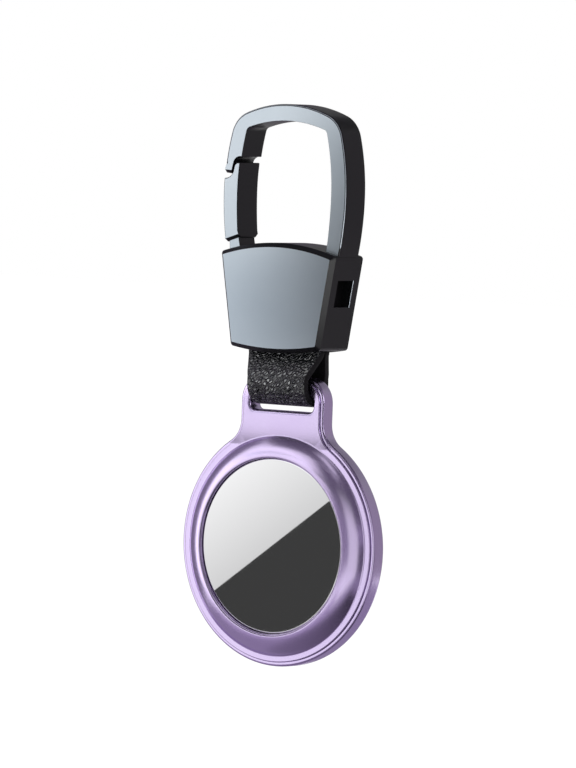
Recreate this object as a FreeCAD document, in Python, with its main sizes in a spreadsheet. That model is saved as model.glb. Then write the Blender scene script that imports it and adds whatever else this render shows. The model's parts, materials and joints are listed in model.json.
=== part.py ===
"""Tracker tag holder: carabiner hook, leather strap and round metal case with a tag inside.

Millimetres. +Z is up, the front faces -Y, and the origin is the inside top of the hook's arch,
where the holder hangs. The case and the tag are drawn around the case's centre and placed below.
"""
import FreeCAD, Part
import math
import os
import Sketcher
from FreeCAD import Placement, Rotation, Vector

# Independent sizes; drops are measured down from the hang point
SIZES = {
    # Housing
    "housing_drop": 18.65,
    "housing_height": 16.85,
    "housing_depth": 8.2,
    "housing_top_half": 11.05,
    "housing_taper": 2.43,
    "housing_top_arc": 36.8,
    "housing_bottom_arc": 48.0,
    "housing_bevel": 0.68,
    "throat_wall": 1.2,
    "throat_clearance": 0.3,
    "window_frame": 2.15,
    "window_height": 4.1,
    # Hook loop, seen from the front
    "hook_depth": 5.0,
    "leg_width": 2.88,
    "belly_swell": 0.75,
    "belly_below_nose": 2.8,
    "loop_arc": 23.0,
    "loop_lean": 1.3,
    "loop_corner_fillet": 0.9,
    "arch_arc": 21.5,
    "arch_rise": 2.57,
    "arch_lean": 1.8,
    "arch_corner_fillet": 4.5,
    "leg_sink": 2.85,
    "leg_inner_lean": 0.87,
    "leg_outer_lean": 1.2,
    # Nose of the arch, which the gate closes against
    "nose_tip_drop": 8.3,
    "nose_tip_slant": 0.1,
    "nose_lip_inset": 1.3,
    "nose_flank_run": 0.4,
    "nose_flank_rise": 1.65,
    "nose_root_rise": 1.0,
    "nose_hollow": 1.3,
    # Gate
    "latch_gap": 0.32,
    "gate_step": 0.13,
    "gate_shoulder_gap": 0.8,
    "gate_notch_gap": 0.35,
    "gate_finger_gap": 0.7,
    "gate_finger_round": 0.95,
    "gate_tip_gap": 0.92,
    "gate_tip_width": 0.55,
    "gate_foot_sink": 0.28,
    "gate_foot_rise": 0.8,
    "tongue_shoulder": 0.55,
    "tongue_outer_reach": 1.55,
    "tongue_inner_reach": 1.1,
    "tongue_clearance": 0.15,
    "pivot_inset": 1.75,
    "pivot_sink": 3.35,
    "eye_radius": 1.25,
    "gate_pin_diameter": 1.2,
    "gate_pin_skin": 0.9,
    "gate_pin_clearance": 0.05,
    "gate_swing_room": 1.95,
    "spring_above_pivot": 1.3,
    "spring_diameter": 1.7,
    "spring_wire": 0.3,
    "spring_turns": 5.0,
    "spring_bore_reach": 6.1,
    "spring_clearance": 0.1,
    # Strap bar
    "strap_bar_sink": 7.4,
    "strap_bar_diameter": 2.0,
    "strap_bar_socket": 1.6,
    "strap_bar_head_length": 0.8,
    "strap_bar_clearance": 0.05,
    # Strap
    "leather": 1.2,
    "housing_side_wall": 1.62,
    "strap_side_clearance": 0.6,
    "strap_narrowing": 1.46,
    "strap_taper_low": 1.15,
    "strap_taper_high": 5.1,
    "strap_nip": 0.136,
    "strap_join_low": 5.3,
    "strap_join_high": 4.2,
    # Case plate and tab
    "case_plate": 2.9,
    "shell_ring": 1.5,
    "tab_hang": 5.01,
    "tab_rise": 6.05,
    "tab_corner": 4.0,
    "tab_fillet": 4.0,
    "bar_height": 3.0,
    "post_width": 2.0,
    "slot_side_room": 0.48,
    "slot_room": 0.73,
    "slot_corner": 0.9,
    "slot_round": 0.6,
    "rim_width": 0.62,
    "rim_step": 0.3,
    "cover_plate": 1.0,
    "cover_seam": 0.02,
    "shell_front_edge": 0.3,
    "shell_rear_edge": 0.6,
    # Bezel
    "bezel_run": 3.2,
    "bezel_rise": 1.75,
    "bezel_wall": 0.7,
    "crest_round": 0.35,
    "cove_radius": 1.0,
    "lip_wall": 1.0,
    "lip_run": 0.35,
    # Case back
    "back_fit": 0.08,
    "back_step": 0.65,
    "back_edge": 0.45,
    "back_shoulder_run": 6.4,
    "back_shoulder_arc": 9.0,
    "back_dome": 1.15,
    "back_wall": 0.7,
    "spigot_wall": 0.77,
    "spigot_length": 1.2,
    "seal_wire": 0.5,
    "seal_depth": 0.45,
    "seal_setback": 0.6,
    "pad_radius": 6.0,
    "pad_thickness": 0.85,
    "pad_skin": 0.02,
    # Tag shell
    "tag_setback": 0.55,
    "tag_clearance": 0.25,
    "tag_belt": 2.95,
    "tag_rim_width": 0.35,
    "tag_rim_run": 2.2,
    "tag_rim_arc": 2.45,
    "tag_rim_setback": 0.65,
    "tag_shoulder_run": 5.45,
    "tag_shoulder_drop": 1.2,
    "bay_room": 2.2,
    "dome_pocket_radius": 3.6,
    "dome_wall": 1.0,
    # Battery cover and gasket
    "battery_cover_ledge": 1.2,
    "battery_cover_clearance": 0.05,
    "battery_cover_thickness": 0.6,
    "skirt_room": 0.4,
    "skirt_wall": 0.6,
    "skirt_length": 1.4,
    "lug_reach": 0.7,
    "lug_thickness": 0.5,
    "lug_angle": 24.0,
    "lug_count": 3.0,
    "lug_clearance": 0.1,
    "cover_twist": 22.0,
    "gasket_inset": 0.12,
    "gasket_thickness": 0.45,
    # Cell, board, contacts and speaker
    "cell_radius": 10.0,
    "cell_thickness": 3.2,
    "cell_cap_inset": 1.2,
    "cell_cap_step": 0.3,
    "cell_setback": 1.15,
    "board_room": 0.3,
    "board_thickness": 0.7,
    "board_seat": 0.05,
    "contact_leaf": 0.2,
    "contact_width": 3.0,
    "contact_gap": 0.05,
    "contact_room": 0.3,
    "positive_contact_rise": 2.6,
    "speaker_room": 1.6,
    "magnet_radius": 2.4,
    "magnet_height": 1.2,
    "coil_radius": 3.4,
    "coil_wall": 0.7,
    "coil_height": 1.4,
    "coil_seat": 0.02,
}

# Sizes that follow from others in the same sheet
DERIVED = {
    "throat_depth": "housing_depth - 2 * throat_wall",
    "window_depth": "housing_depth - 2 * window_frame",
    "housing_bottom_half": "housing_top_half - housing_taper",
    "belly_drop": "nose_tip_drop + belly_below_nose",
    "belly_outer": "housing_top_half + belly_swell",
    "belly_inner": "belly_outer - leg_width",
    "loop_corner": "belly_inner - loop_lean",
    "arch_corner": "belly_outer - arch_lean",
    "leg_foot_drop": "housing_drop + leg_sink",
    "leg_foot_inner": "belly_inner - leg_inner_lean",
    "leg_foot_outer": "belly_outer - leg_outer_lean",
    "nose_lip": "belly_outer - nose_lip_inset",
    "nose_lip_drop": "nose_tip_drop + nose_tip_slant",
    "nose_throat": "nose_lip - nose_flank_run",
    "nose_throat_drop": "nose_lip_drop - nose_flank_rise",
    "nose_root_drop": "nose_throat_drop - nose_root_rise",
    "gate_inner": "belly_inner + gate_step",
    "gate_shoulder_drop": "nose_tip_drop + gate_shoulder_gap",
    "gate_notch_drop": "nose_lip_drop + gate_notch_gap",
    "gate_finger_drop": "nose_throat_drop + gate_finger_gap",
    "gate_tip_drop": "nose_root_drop + gate_tip_gap",
    "gate_foot_drop": "housing_drop + gate_foot_sink",
    "tongue_depth": "hook_depth - 2 * tongue_shoulder",
    "pivot_side": "housing_top_half - pivot_inset",
    "pivot_drop": "housing_drop + pivot_sink",
    "tongue_outer": "pivot_side + tongue_outer_reach",
    "tongue_inner": "pivot_side - tongue_inner_reach",
    "gate_pin_front": "housing_depth / 2 - gate_pin_skin",
    "spring_drop": "pivot_drop - spring_above_pivot",
    "spring_bore_end": "pivot_side - spring_bore_reach",
    "strap_bar_drop": "housing_drop + strap_bar_sink",
    "strap_reach": "housing_height - strap_bar_sink + tab_hang",
    "strap_top_half": "housing_bottom_half - housing_side_wall",
    "strap_foot_half": "strap_top_half - strap_narrowing",
    "strap_loop_radius": "sqrt(case_plate ^ 2 + bar_height ^ 2) / 2 - strap_nip",
    "slot_half": "strap_foot_half + slot_side_room",
    "slot_height": "strap_loop_radius - bar_height / 2 + leather + slot_room",
    "tab_half": "slot_half + post_width",
    "cell_cap_radius": "cell_radius - cell_cap_inset",
    "bay_radius": "cell_radius + bay_room",
    "board_radius": "bay_radius - board_room",
    "skirt_radius": "bay_radius - skirt_room",
    "battery_cover_radius": "bay_radius + battery_cover_ledge",
    "tag_rim_radius": "battery_cover_radius + tag_rim_width",
    "tag_radius": "tag_rim_radius + tag_rim_run",
    "tag_shoulder_radius": "tag_radius - tag_shoulder_run",
    "shell_bore": "tag_radius + tag_clearance + spigot_wall + back_fit",
    "shell_radius": "shell_bore + shell_ring",
    "tab_reach": "shell_radius + tab_rise",
    "foot_radius": "shell_bore",
    "bezel_hollow": "foot_radius - bezel_wall",
    "crest_radius": "foot_radius - bezel_run",
    "opening_radius": "crest_radius - crest_round",
    "lip_back": "crest_radius + lip_run",
    "back_radius": "shell_radius - back_step",
    "back_shoulder_radius": "back_radius - back_shoulder_run",
    "bay_ledge": "battery_cover_thickness + gasket_thickness + battery_cover_clearance",
    "bay_depth": "cell_setback + cell_thickness + contact_room + board_thickness + board_seat",
    "tag_thickness": "bay_depth + speaker_room + dome_wall",
}

doc = FreeCAD.newDocument("TagHolder")
sheet = doc.addObject("Spreadsheet::Sheet", "size")
rows = [(alias, str(value)) for alias, value in SIZES.items()]
rows += [(alias, "=" + formula) for alias, formula in DERIVED.items()]
for row, (alias, content) in enumerate(rows, start=1):
    sheet.set(f"A{row}", alias)
    sheet.set(f"B{row}", content)
    sheet.setAlias(f"B{row}", alias)
doc.recompute()


def number(expression):
    """The value that an expression over the sheet has now."""
    return float(sheet.evalExpression(expression))


def bind(item, **expressions):
    """Ties properties of a document object to expressions over the sheet."""
    for name, expression in expressions.items():
        item.setExpression(name.replace("__", "."), expression)


def new_body(label, drop=None):
    """An empty body, set down from the hang point by an expression."""
    body = doc.addObject("PartDesign::Body", label)
    body.Label = label
    if drop:
        bind(body, Placement__Base__z=f"-({drop})")
    return body


def new_sketch(body, name, role, offset=None):
    """A sketch on one of the body's origin planes, moved along its normal by an expression."""
    sketch = body.newObject("Sketcher::SketchObject", name)
    planes = {feature.Role: feature for feature in body.Origin.OriginFeatures}
    sketch.AttachmentSupport = [(planes[role], "")]
    sketch.MapMode = "FlatFace"
    if offset:
        bind(sketch, AttachmentOffset__Base__z=offset)
    return sketch


def tie(sketch, kind, elements, expression):
    """One dimension of a sketch, bound to an expression."""
    index = sketch.addConstraint(Sketcher.Constraint(kind, *elements, number(expression)))
    sketch.setExpression(f"Constraints[{index}]", expression)


def outline(sketch, corners):
    """A closed outline. A corner is (x, y), or (x, y, radius, side) where an arc leads on from it.

    The side, left or right, is where the arc's centre lies for someone walking along the outline.
    """
    places = [Vector(number(corner[0]), number(corner[1]), 0) for corner in corners]
    first = sketch.GeometryCount
    ends = []
    for index, corner in enumerate(corners):
        start = places[index]
        stop = places[(index + 1) % len(corners)]
        if len(corner) == 2:
            sketch.addGeometry(Part.LineSegment(start, stop))
            ends.append((1, 2))
            continue
        radius = number(corner[2])
        chord = stop - start
        aside = Vector(-chord.y, chord.x, 0).normalize()
        reach = math.sqrt(max(radius ** 2 - chord.Length ** 2 / 4, 0))
        turn = 1 if corner[3] == "left" else -1
        centre = (start + stop) * 0.5 + aside * reach * turn
        angles = [math.atan2(place.y - centre.y, place.x - centre.x) for place in (start, stop)]
        circle = Part.Circle(centre, Vector(0, 0, 1), radius)
        sketch.addGeometry(Part.ArcOfCircle(circle, *angles[::turn]))
        ends.append((1, 2)[::turn])
    for index, corner in enumerate(corners):
        follower = (index + 1) % len(corners)
        joint = (first + index, ends[index][1], first + follower, ends[follower][0])
        sketch.addConstraint(Sketcher.Constraint("Coincident", *joint))
        tie(sketch, "DistanceX", (-1, 1, first + index, ends[index][0]), corner[0])
        tie(sketch, "DistanceY", (-1, 1, first + index, ends[index][0]), corner[1])
        if len(corner) > 2:
            tie(sketch, "Radius", (first + index,), corner[2])


def round_hole(sketch, across, up, radius):
    """A circle placed and sized by expressions."""
    place = Vector(number(across), number(up), 0)
    index = sketch.addGeometry(Part.Circle(place, Vector(0, 0, 1), number(radius)))
    tie(sketch, "DistanceX", (-1, 1, index, 3), across)
    tie(sketch, "DistanceY", (-1, 1, index, 3), up)
    tie(sketch, "Radius", (index,), radius)


def box_outline(sketch, low_x, high_x, low_y, high_y):
    """A rectangle between expressions."""
    outline(sketch, [(low_x, low_y), (high_x, low_y), (high_x, high_y), (low_x, high_y)])


def pad(body, sketch, length, symmetric=False):
    """Material raised from a sketch along its normal, or evenly to both sides of it."""
    feature = body.newObject("PartDesign::Pad", sketch.Name + "_pad")
    feature.Profile = sketch
    feature.SideType = "Symmetric" if symmetric else "One side"
    bind(feature, Length=length)
    doc.recompute()
    return feature


def pocket(body, sketch, length, symmetric=False, reverse=False):
    """Material cut from a sketch against its normal, and proof that something was cut."""
    before = body.Shape.Volume
    feature = body.newObject("PartDesign::Pocket", sketch.Name + "_pocket")
    feature.Profile = sketch
    feature.SideType = "Symmetric" if symmetric else "One side"
    feature.Reversed = reverse
    bind(feature, Length=length)
    doc.recompute()
    if not feature.Shape.Volume < before:
        raise ValueError(sketch.Name + " cuts nothing")
    return feature


def revolve(body, sketch):
    """A full turn of a sketch about its vertical axis."""
    feature = body.newObject("PartDesign::Revolution", sketch.Name + "_turn")
    feature.Profile = sketch
    feature.ReferenceAxis = (sketch, ["V_Axis"])
    feature.Angle = 360
    doc.recompute()
    return feature


def edges_at(shape, test):
    """Names of the edges whose two ends both pass a test."""
    names = []
    for index, edge in enumerate(shape.Edges, start=1):
        if all(test(vertex.Point) for vertex in edge.Vertexes):
            names.append(f"Edge{index}")
    return names


def dress(body, kind, names, size):
    """A fillet or chamfer on named edges or faces of the body's last feature."""
    base = body.Tip
    feature = body.newObject("PartDesign::" + kind, f"{body.Label}_{kind}_{len(body.Group)}")
    feature.Base = (base, names)
    bind(feature, **{"Radius" if kind == "Fillet" else "Size": size})
    doc.recompute()
    return feature


TOLERANCE = 0.01


def near(value, target):
    """Whether two lengths agree within the tolerance."""
    return abs(value - target) < TOLERANCE


# Levels and radii that several pieces share
GATE_FOOT_INNER_DROP = "(size.gate_foot_drop - size.gate_foot_rise)"
HOUSING_BOTTOM = "(size.housing_drop + size.housing_height)"
STRAP_OUTER = "(size.strap_loop_radius + size.leather)"
TAB_AXIS_DROP = "(size.strap_bar_drop + size.strap_reach)"
CASE_DROP = f"({TAB_AXIS_DROP} + size.tab_reach)"
PLATE_FRONT = "(-size.case_plate / 2)"
PLATE_BACK = "(size.case_plate / 2)"
COVER_BACK = f"({PLATE_FRONT} + size.cover_plate)"
CREST = f"({PLATE_FRONT} - size.bezel_rise)"
TAG_FRONT = f"({CREST} + size.tag_setback)"
TAG_BACK = f"({TAG_FRONT} + size.tag_thickness)"
BAY_FLOOR = f"({TAG_FRONT} + size.bay_depth)"


def fallen(radius, half):
    """How far an arc of a radius falls from its top to half a chord away."""
    return f"({radius} - sqrt({radius} ^ 2 - {half} ^ 2))"


def bow(belly, end, drop):
    """Radius of the arc from the belly, where it is upright, to a place at another drop."""
    run = f"({belly} - {end})"
    return f"(({run} ^ 2 + ({drop} - size.belly_drop) ^ 2) / (2 * {run}))"


# Arcs of the loop's legs: above and below the belly, inside and outside
LOOP_CORNER_DROP = fallen("size.loop_arc", "size.loop_corner")
ARCH_CORNER_DROP = f"({fallen('size.arch_arc', 'size.arch_corner')} - size.arch_rise)"
UPPER_INNER = bow("size.belly_inner", "size.loop_corner", LOOP_CORNER_DROP)
UPPER_OUTER = bow("size.belly_outer", "size.arch_corner", ARCH_CORNER_DROP)
LOWER_INNER = bow("size.belly_inner", "size.leg_foot_inner", "size.leg_foot_drop")
LOWER_OUTER = bow("size.belly_outer", "size.leg_foot_outer", "size.leg_foot_drop")


def leg_side(belly, arc, drop):
    """Half-width of the loop at a drop, on an arc that is upright at the belly."""
    return f"({belly} - {fallen(arc, f'({drop} - size.belly_drop)')})"


# Hook frame: housing, then arch with leg and nose, then the cavities
frame = new_body("hook_frame")
TOP_CORNER_DROP = f"(size.housing_drop + {fallen('size.housing_top_arc', 'size.housing_top_half')})"
BOTTOM_CORNER_DROP = f"({HOUSING_BOTTOM} - {fallen('size.housing_bottom_arc', 'size.housing_bottom_half')})"
sketch = new_sketch(frame, "housing_outline", "XZ_Plane")
outline(sketch, [
    ("size.housing_top_half", f"-{TOP_CORNER_DROP}", "size.housing_top_arc", "left"),
    ("-size.housing_top_half", f"-{TOP_CORNER_DROP}"),
    ("-size.housing_bottom_half", f"-{BOTTOM_CORNER_DROP}", "size.housing_bottom_arc", "left"),
    ("size.housing_bottom_half", f"-{BOTTOM_CORNER_DROP}"),
])
block = pad(frame, sketch, "size.housing_depth", symmetric=True)
faces = [f"Face{index}" for index, face in enumerate(block.Shape.Faces, start=1)
         if near(abs(face.normalAt(0, 0).y), 1)]
dress(frame, "Chamfer", faces, "size.housing_bevel")

NOSE_ROOT = leg_side("size.belly_inner", UPPER_INNER, "size.nose_root_drop")
NOSE_TIP = leg_side("size.belly_outer", UPPER_OUTER, "size.nose_tip_drop")
sketch = new_sketch(frame, "arch_outline", "XZ_Plane")
outline(sketch, [
    ("size.leg_foot_outer", "-size.leg_foot_drop", LOWER_OUTER, "left"),
    ("size.belly_outer", "-size.belly_drop", UPPER_OUTER, "left"),
    ("size.arch_corner", f"-{ARCH_CORNER_DROP}", "size.arch_arc", "left"),
    ("-size.arch_corner", f"-{ARCH_CORNER_DROP}", UPPER_OUTER, "left"),
    (f"-{NOSE_TIP}", "-size.nose_tip_drop"),
    ("-size.nose_lip", "-size.nose_lip_drop"),
    ("-size.nose_throat", "-size.nose_throat_drop", "size.nose_hollow", "right"),
    (f"-{NOSE_ROOT}", "-size.nose_root_drop", UPPER_INNER, "right"),
    ("-size.loop_corner", f"-{LOOP_CORNER_DROP}", "size.loop_arc", "right"),
    ("size.loop_corner", f"-{LOOP_CORNER_DROP}", UPPER_INNER, "right"),
    ("size.belly_inner", "-size.belly_drop", LOWER_INNER, "right"),
    ("size.leg_foot_inner", "-size.leg_foot_drop"),
])
pad(frame, sketch, "size.hook_depth", symmetric=True)
for corner, drop, size in (("loop_corner", LOOP_CORNER_DROP, "size.loop_corner_fillet"),
                           ("arch_corner", ARCH_CORNER_DROP, "size.arch_corner_fillet")):
    level = -number(drop)
    names = []
    half = number(f"size.{corner}")
    for side in (half, -half):
        names += edges_at(frame.Shape, lambda point: near(point.x, side) and near(point.z, level))
    dress(frame, "Fillet", names, size)

THROAT_HALF = "(size.strap_top_half + size.strap_side_clearance)"
UPPER_LOOP = "(size.strap_bar_diameter / 2 + size.strap_bar_clearance)"
THROAT_TOP = f"(size.strap_bar_drop - {UPPER_LOOP} - size.leather - size.throat_clearance)"
sketch = new_sketch(frame, "throat", "XY_Plane", f"-{THROAT_TOP}")
box_outline(sketch, f"-{THROAT_HALF}", THROAT_HALF, "-size.throat_depth / 2", "size.throat_depth / 2")
pocket(frame, sketch, "size.housing_height")

sketch = new_sketch(frame, "side_window", "YZ_Plane")
box_outline(sketch, "-size.window_depth / 2", "size.window_depth / 2",
            "-size.strap_bar_drop - size.window_height / 2", "-size.strap_bar_drop + size.window_height / 2")
pocket(frame, sketch, "size.housing_top_half", reverse=True)

sketch = new_sketch(frame, "bar_socket", "YZ_Plane")
round_hole(sketch, "0", "-size.strap_bar_drop", "size.strap_bar_diameter / 2")
pocket(frame, sketch, f"{THROAT_HALF} + size.strap_bar_socket")

FORK_SIDE = "(size.pivot_side - size.eye_radius - size.tongue_clearance)"
FORK_FLOOR = "(size.pivot_drop + size.eye_radius + size.tongue_clearance)"
sketch = new_sketch(frame, "gate_fork", "XZ_Plane")
outline(sketch, [
    ("-size.belly_outer", f"-{FORK_FLOOR}"),
    (f"-{FORK_SIDE}", f"-{FORK_FLOOR}"),
    (f"-{FORK_SIDE}", "-size.pivot_drop"),
    ("-size.tongue_inner + size.gate_swing_room", f"-{GATE_FOOT_INNER_DROP}"),
    ("-size.belly_outer", f"-{GATE_FOOT_INNER_DROP}"),
])
pocket(frame, sketch, "size.tongue_depth + 2 * size.tongue_clearance", symmetric=True)

sketch = new_sketch(frame, "gate_pin_hole", "XZ_Plane", "size.gate_pin_front")
round_hole(sketch, "-size.pivot_side", "-size.pivot_drop", "size.gate_pin_diameter / 2")
pocket(frame, sketch, "size.gate_pin_front + size.housing_depth")

sketch = new_sketch(frame, "spring_bore", "YZ_Plane", "-size.spring_bore_end")
round_hole(sketch, "0", "-size.spring_drop", "size.spring_diameter / 2 + size.spring_clearance")
pocket(frame, sketch, "size.pivot_side - size.spring_bore_end")

# Gate: leg with the stepped latch, then the tongue with its eye
gate = new_body("gate")
FLANK_SLANT = "(size.nose_flank_run / size.nose_flank_rise)"
FLANK_GAP = f"(size.latch_gap * sqrt(1 + {FLANK_SLANT} ^ 2))"


def flank(drop):
    """Half-width of the gate's latch flank, which keeps the latch gap from the nose."""
    return f"(size.nose_lip - {FLANK_GAP} - (size.nose_lip_drop - {drop}) * {FLANK_SLANT})"


GATE_TIP = leg_side("size.gate_inner", UPPER_INNER, "size.gate_tip_drop")
sketch = new_sketch(gate, "gate_outline", "XZ_Plane")
outline(sketch, [
    (f"-{leg_side('size.belly_outer', UPPER_OUTER, 'size.gate_shoulder_drop')}", "-size.gate_shoulder_drop",
     UPPER_OUTER, "left"),
    ("-size.belly_outer", "-size.belly_drop", LOWER_OUTER, "left"),
    (f"-{leg_side('size.belly_outer', LOWER_OUTER, 'size.gate_foot_drop')}", "-size.gate_foot_drop"),
    (f"-{leg_side('size.gate_inner', LOWER_INNER, GATE_FOOT_INNER_DROP)}", f"-{GATE_FOOT_INNER_DROP}",
     LOWER_INNER, "right"),
    ("-size.gate_inner", "-size.belly_drop", UPPER_INNER, "right"),
    (f"-{GATE_TIP}", "-size.gate_tip_drop"),
    (f"-{GATE_TIP} - size.gate_tip_width", "-size.gate_tip_drop", "size.gate_finger_round", "left"),
    (f"-{flank('size.gate_finger_drop')}", "-size.gate_finger_drop"),
    (f"-{flank('size.gate_notch_drop')}", "-size.gate_notch_drop"),
])
pad(gate, sketch, "size.hook_depth", symmetric=True)
sketch = new_sketch(gate, "gate_tongue", "XZ_Plane")
TONGUE_TOP = f"({GATE_FOOT_INNER_DROP} - size.gate_foot_rise)"
outline(sketch, [
    ("-size.tongue_outer", f"-{TONGUE_TOP}"),
    ("-size.pivot_side - size.eye_radius", "-size.pivot_drop", "size.eye_radius", "left"),
    ("-size.pivot_side", "-size.pivot_drop - size.eye_radius", "size.eye_radius", "left"),
    ("-size.pivot_side + size.eye_radius", "-size.pivot_drop"),
    ("-size.tongue_inner", f"-{GATE_FOOT_INNER_DROP}"),
    ("-size.gate_inner", f"-{TONGUE_TOP}"),
])
pad(gate, sketch, "size.tongue_depth", symmetric=True)
sketch = new_sketch(gate, "gate_eye", "XZ_Plane")
EYE_BORE = "size.gate_pin_diameter / 2 + size.gate_pin_clearance"
round_hole(sketch, "-size.pivot_side", "-size.pivot_drop", EYE_BORE)
pocket(gate, sketch, "size.hook_depth", symmetric=True)

# Gate pin, pressed in from the rear and flush there
gate_pin = doc.addObject("Part::Cylinder", "gate_pin")
gate_pin.Placement = Placement(Vector(), Rotation(Vector(1, 0, 0), -90))
bind(gate_pin, Radius="size.gate_pin_diameter / 2", Height="size.gate_pin_front + size.housing_depth / 2",
     Placement__Base__x="-size.pivot_side", Placement__Base__y="-size.gate_pin_front",
     Placement__Base__z="-size.pivot_drop")


def coil(start, turns, rise, radius, wire):
    """A round wire wound about the X axis from a point, in arcs of a quarter turn each."""
    def place(quarters):
        angle = quarters * math.pi / 2
        return start + Vector(quarters / 4 * rise, radius * math.cos(angle), radius * math.sin(angle))

    quarters = round(4 * turns)
    arcs = [Part.Arc(place(step), place(step + 0.5), place(step + 1)).toShape() for step in range(quarters)]
    route = Part.Wire(arcs)
    heading = route.Edges[0].tangentAt(route.Edges[0].FirstParameter)
    section = Part.Wire(Part.Circle(place(0), heading, wire / 2).toShape())
    spaced = [place(step / 4) for step in range(4 * quarters)]
    apart = min((one - two).Length for index, one in enumerate(spaced) for two in spaced[index + 8:])
    print("gate_spring, least gap to itself", round(apart - wire, 3))
    return route.makePipeShell([section], True, False)


# Gate spring, a compression spring between its bore and the tongue
TONGUE_LENGTH = f"(size.pivot_drop - {GATE_FOOT_INNER_DROP})"
TONGUE_SHARE = f"((size.spring_drop - {GATE_FOOT_INNER_DROP}) / {TONGUE_LENGTH})"
TONGUE_FACE = f"(-size.tongue_inner + (size.eye_radius - size.tongue_inner_reach) * {TONGUE_SHARE})"
spring_wire = number("size.spring_wire")
spring_turns = number("size.spring_turns")
spring_seat = number("-size.spring_bore_end - size.spring_wire / 2")
spring_end = number(f"{TONGUE_FACE} + size.spring_clearance + size.spring_wire / 2")
spring_rise = (spring_seat - spring_end) / spring_turns
spring_radius = number("(size.spring_diameter - size.spring_wire) / 2")
gate_spring = doc.addObject("Part::Feature", "gate_spring")
gate_spring.Shape = coil(Vector(spring_end, 0, 0), spring_turns, spring_rise, spring_radius, spring_wire)
gate_spring.Placement = Placement(Vector(0, 0, -number("size.spring_drop")), Rotation())

# Strap bar, a round bar in a blind socket with a square head in the side window
rod = doc.addObject("Part::Cylinder", "strap_bar_rod")
rod.Placement = Placement(Vector(), Rotation(Vector(0, 1, 0), 90))
bind(rod, Radius="size.strap_bar_diameter / 2", Height=f"2 * {THROAT_HALF} + size.strap_bar_socket",
     Placement__Base__x=f"-{THROAT_HALF} - size.strap_bar_socket", Placement__Base__z="-size.strap_bar_drop")
head = doc.addObject("Part::Box", "strap_bar_head")
HEAD_DEPTH = "(size.window_depth - 2 * size.strap_bar_clearance)"
HEAD_HEIGHT = "(size.window_height - 2 * size.strap_bar_clearance)"
bind(head, Length="size.strap_bar_head_length", Width=HEAD_DEPTH, Height=HEAD_HEIGHT,
     Placement__Base__x=THROAT_HALF, Placement__Base__y=f"-{HEAD_DEPTH} / 2",
     Placement__Base__z=f"-size.strap_bar_drop - {HEAD_HEIGHT} / 2")
strap_bar = doc.addObject("Part::Fuse", "strap_bar")
strap_bar.Base = rod
strap_bar.Tool = head


# Strap, a closed leather band pinched between the loop round its bar and the loop round the tab
def wall_start(radius, sine, above):
    """Where a loop's round wall turns straight: across from its axis, and up from its axis."""
    return f"({radius} * sqrt(1 - {sine} ^ 2))", f"({above} * {radius} * {sine})"


def walls_meet(radius, sine, above):
    """How far up from a loop's axis its straight outer walls are two leathers apart."""
    return f"({above} * ({radius} - size.leather * sqrt(1 - {sine} ^ 2)) / {sine})"


strap = new_body("strap")
UPPER_OUTER_LOOP = f"({UPPER_LOOP} + size.leather)"
LOW_SINE = "(size.strap_loop_radius / size.strap_join_low)"
HIGH_SINE = f"({UPPER_LOOP} / size.strap_join_high)"
LOW_AXIS = f"-{TAB_AXIS_DROP}"
HIGH_AXIS = "-size.strap_bar_drop"
low_across, low_up = wall_start(STRAP_OUTER, LOW_SINE, 1)
high_across, high_up = wall_start(UPPER_OUTER_LOOP, HIGH_SINE, -1)
low_meet = walls_meet(STRAP_OUTER, LOW_SINE, 1)
high_meet = walls_meet(UPPER_OUTER_LOOP, HIGH_SINE, -1)
sketch = new_sketch(strap, "strap_profile", "YZ_Plane")
outline(sketch, [
    ("0", f"{LOW_AXIS} - {STRAP_OUTER}", STRAP_OUTER, "left"),
    (low_across, f"{LOW_AXIS} + {low_up}"),
    ("size.leather", f"{LOW_AXIS} + {low_meet}"),
    ("size.leather", f"{HIGH_AXIS} + {high_meet}"),
    (high_across, f"{HIGH_AXIS} + {high_up}", UPPER_OUTER_LOOP, "left"),
    ("0", f"{HIGH_AXIS} + {UPPER_OUTER_LOOP}", UPPER_OUTER_LOOP, "left"),
    (f"-{high_across}", f"{HIGH_AXIS} + {high_up}"),
    ("-size.leather", f"{HIGH_AXIS} + {high_meet}"),
    ("-size.leather", f"{LOW_AXIS} + {low_meet}"),
    (f"-{low_across}", f"{LOW_AXIS} + {low_up}", STRAP_OUTER, "left"),
])
low_across, low_up = wall_start("size.strap_loop_radius", LOW_SINE, 1)
outline(sketch, [
    ("0", f"{LOW_AXIS} - size.strap_loop_radius", "size.strap_loop_radius", "left"),
    (low_across, f"{LOW_AXIS} + {low_up}"),
    ("0", f"{LOW_AXIS} + size.strap_join_low"),
    (f"-{low_across}", f"{LOW_AXIS} + {low_up}", "size.strap_loop_radius", "left"),
])
high_across, high_up = wall_start(UPPER_LOOP, HIGH_SINE, -1)
outline(sketch, [
    ("0", f"{HIGH_AXIS} + {UPPER_LOOP}", UPPER_LOOP, "left"),
    (f"-{high_across}", f"{HIGH_AXIS} + {high_up}"),
    ("0", f"{HIGH_AXIS} - size.strap_join_high"),
    (high_across, f"{HIGH_AXIS} + {high_up}", UPPER_LOOP, "left"),
])
pad(strap, sketch, "2 * size.strap_top_half", symmetric=True)
TAPER_LOW = f"({LOW_AXIS} + size.strap_taper_low)"
TAPER_HIGH = f"({LOW_AXIS} + size.strap_taper_high)"
STRAP_END = f"({LOW_AXIS} - 2 * {STRAP_OUTER})"
sketch = new_sketch(strap, "strap_taper", "XZ_Plane")
for side in ("", "-"):
    outline(sketch, [
        (f"{side}size.strap_foot_half", STRAP_END),
        (f"{side}2 * size.strap_top_half", STRAP_END),
        (f"{side}2 * size.strap_top_half", TAPER_HIGH),
        (f"{side}size.strap_top_half", TAPER_HIGH),
        (f"{side}size.strap_foot_half", TAPER_LOW),
    ])
pocket(strap, sketch, f"4 * {STRAP_OUTER}", symmetric=True)


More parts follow.
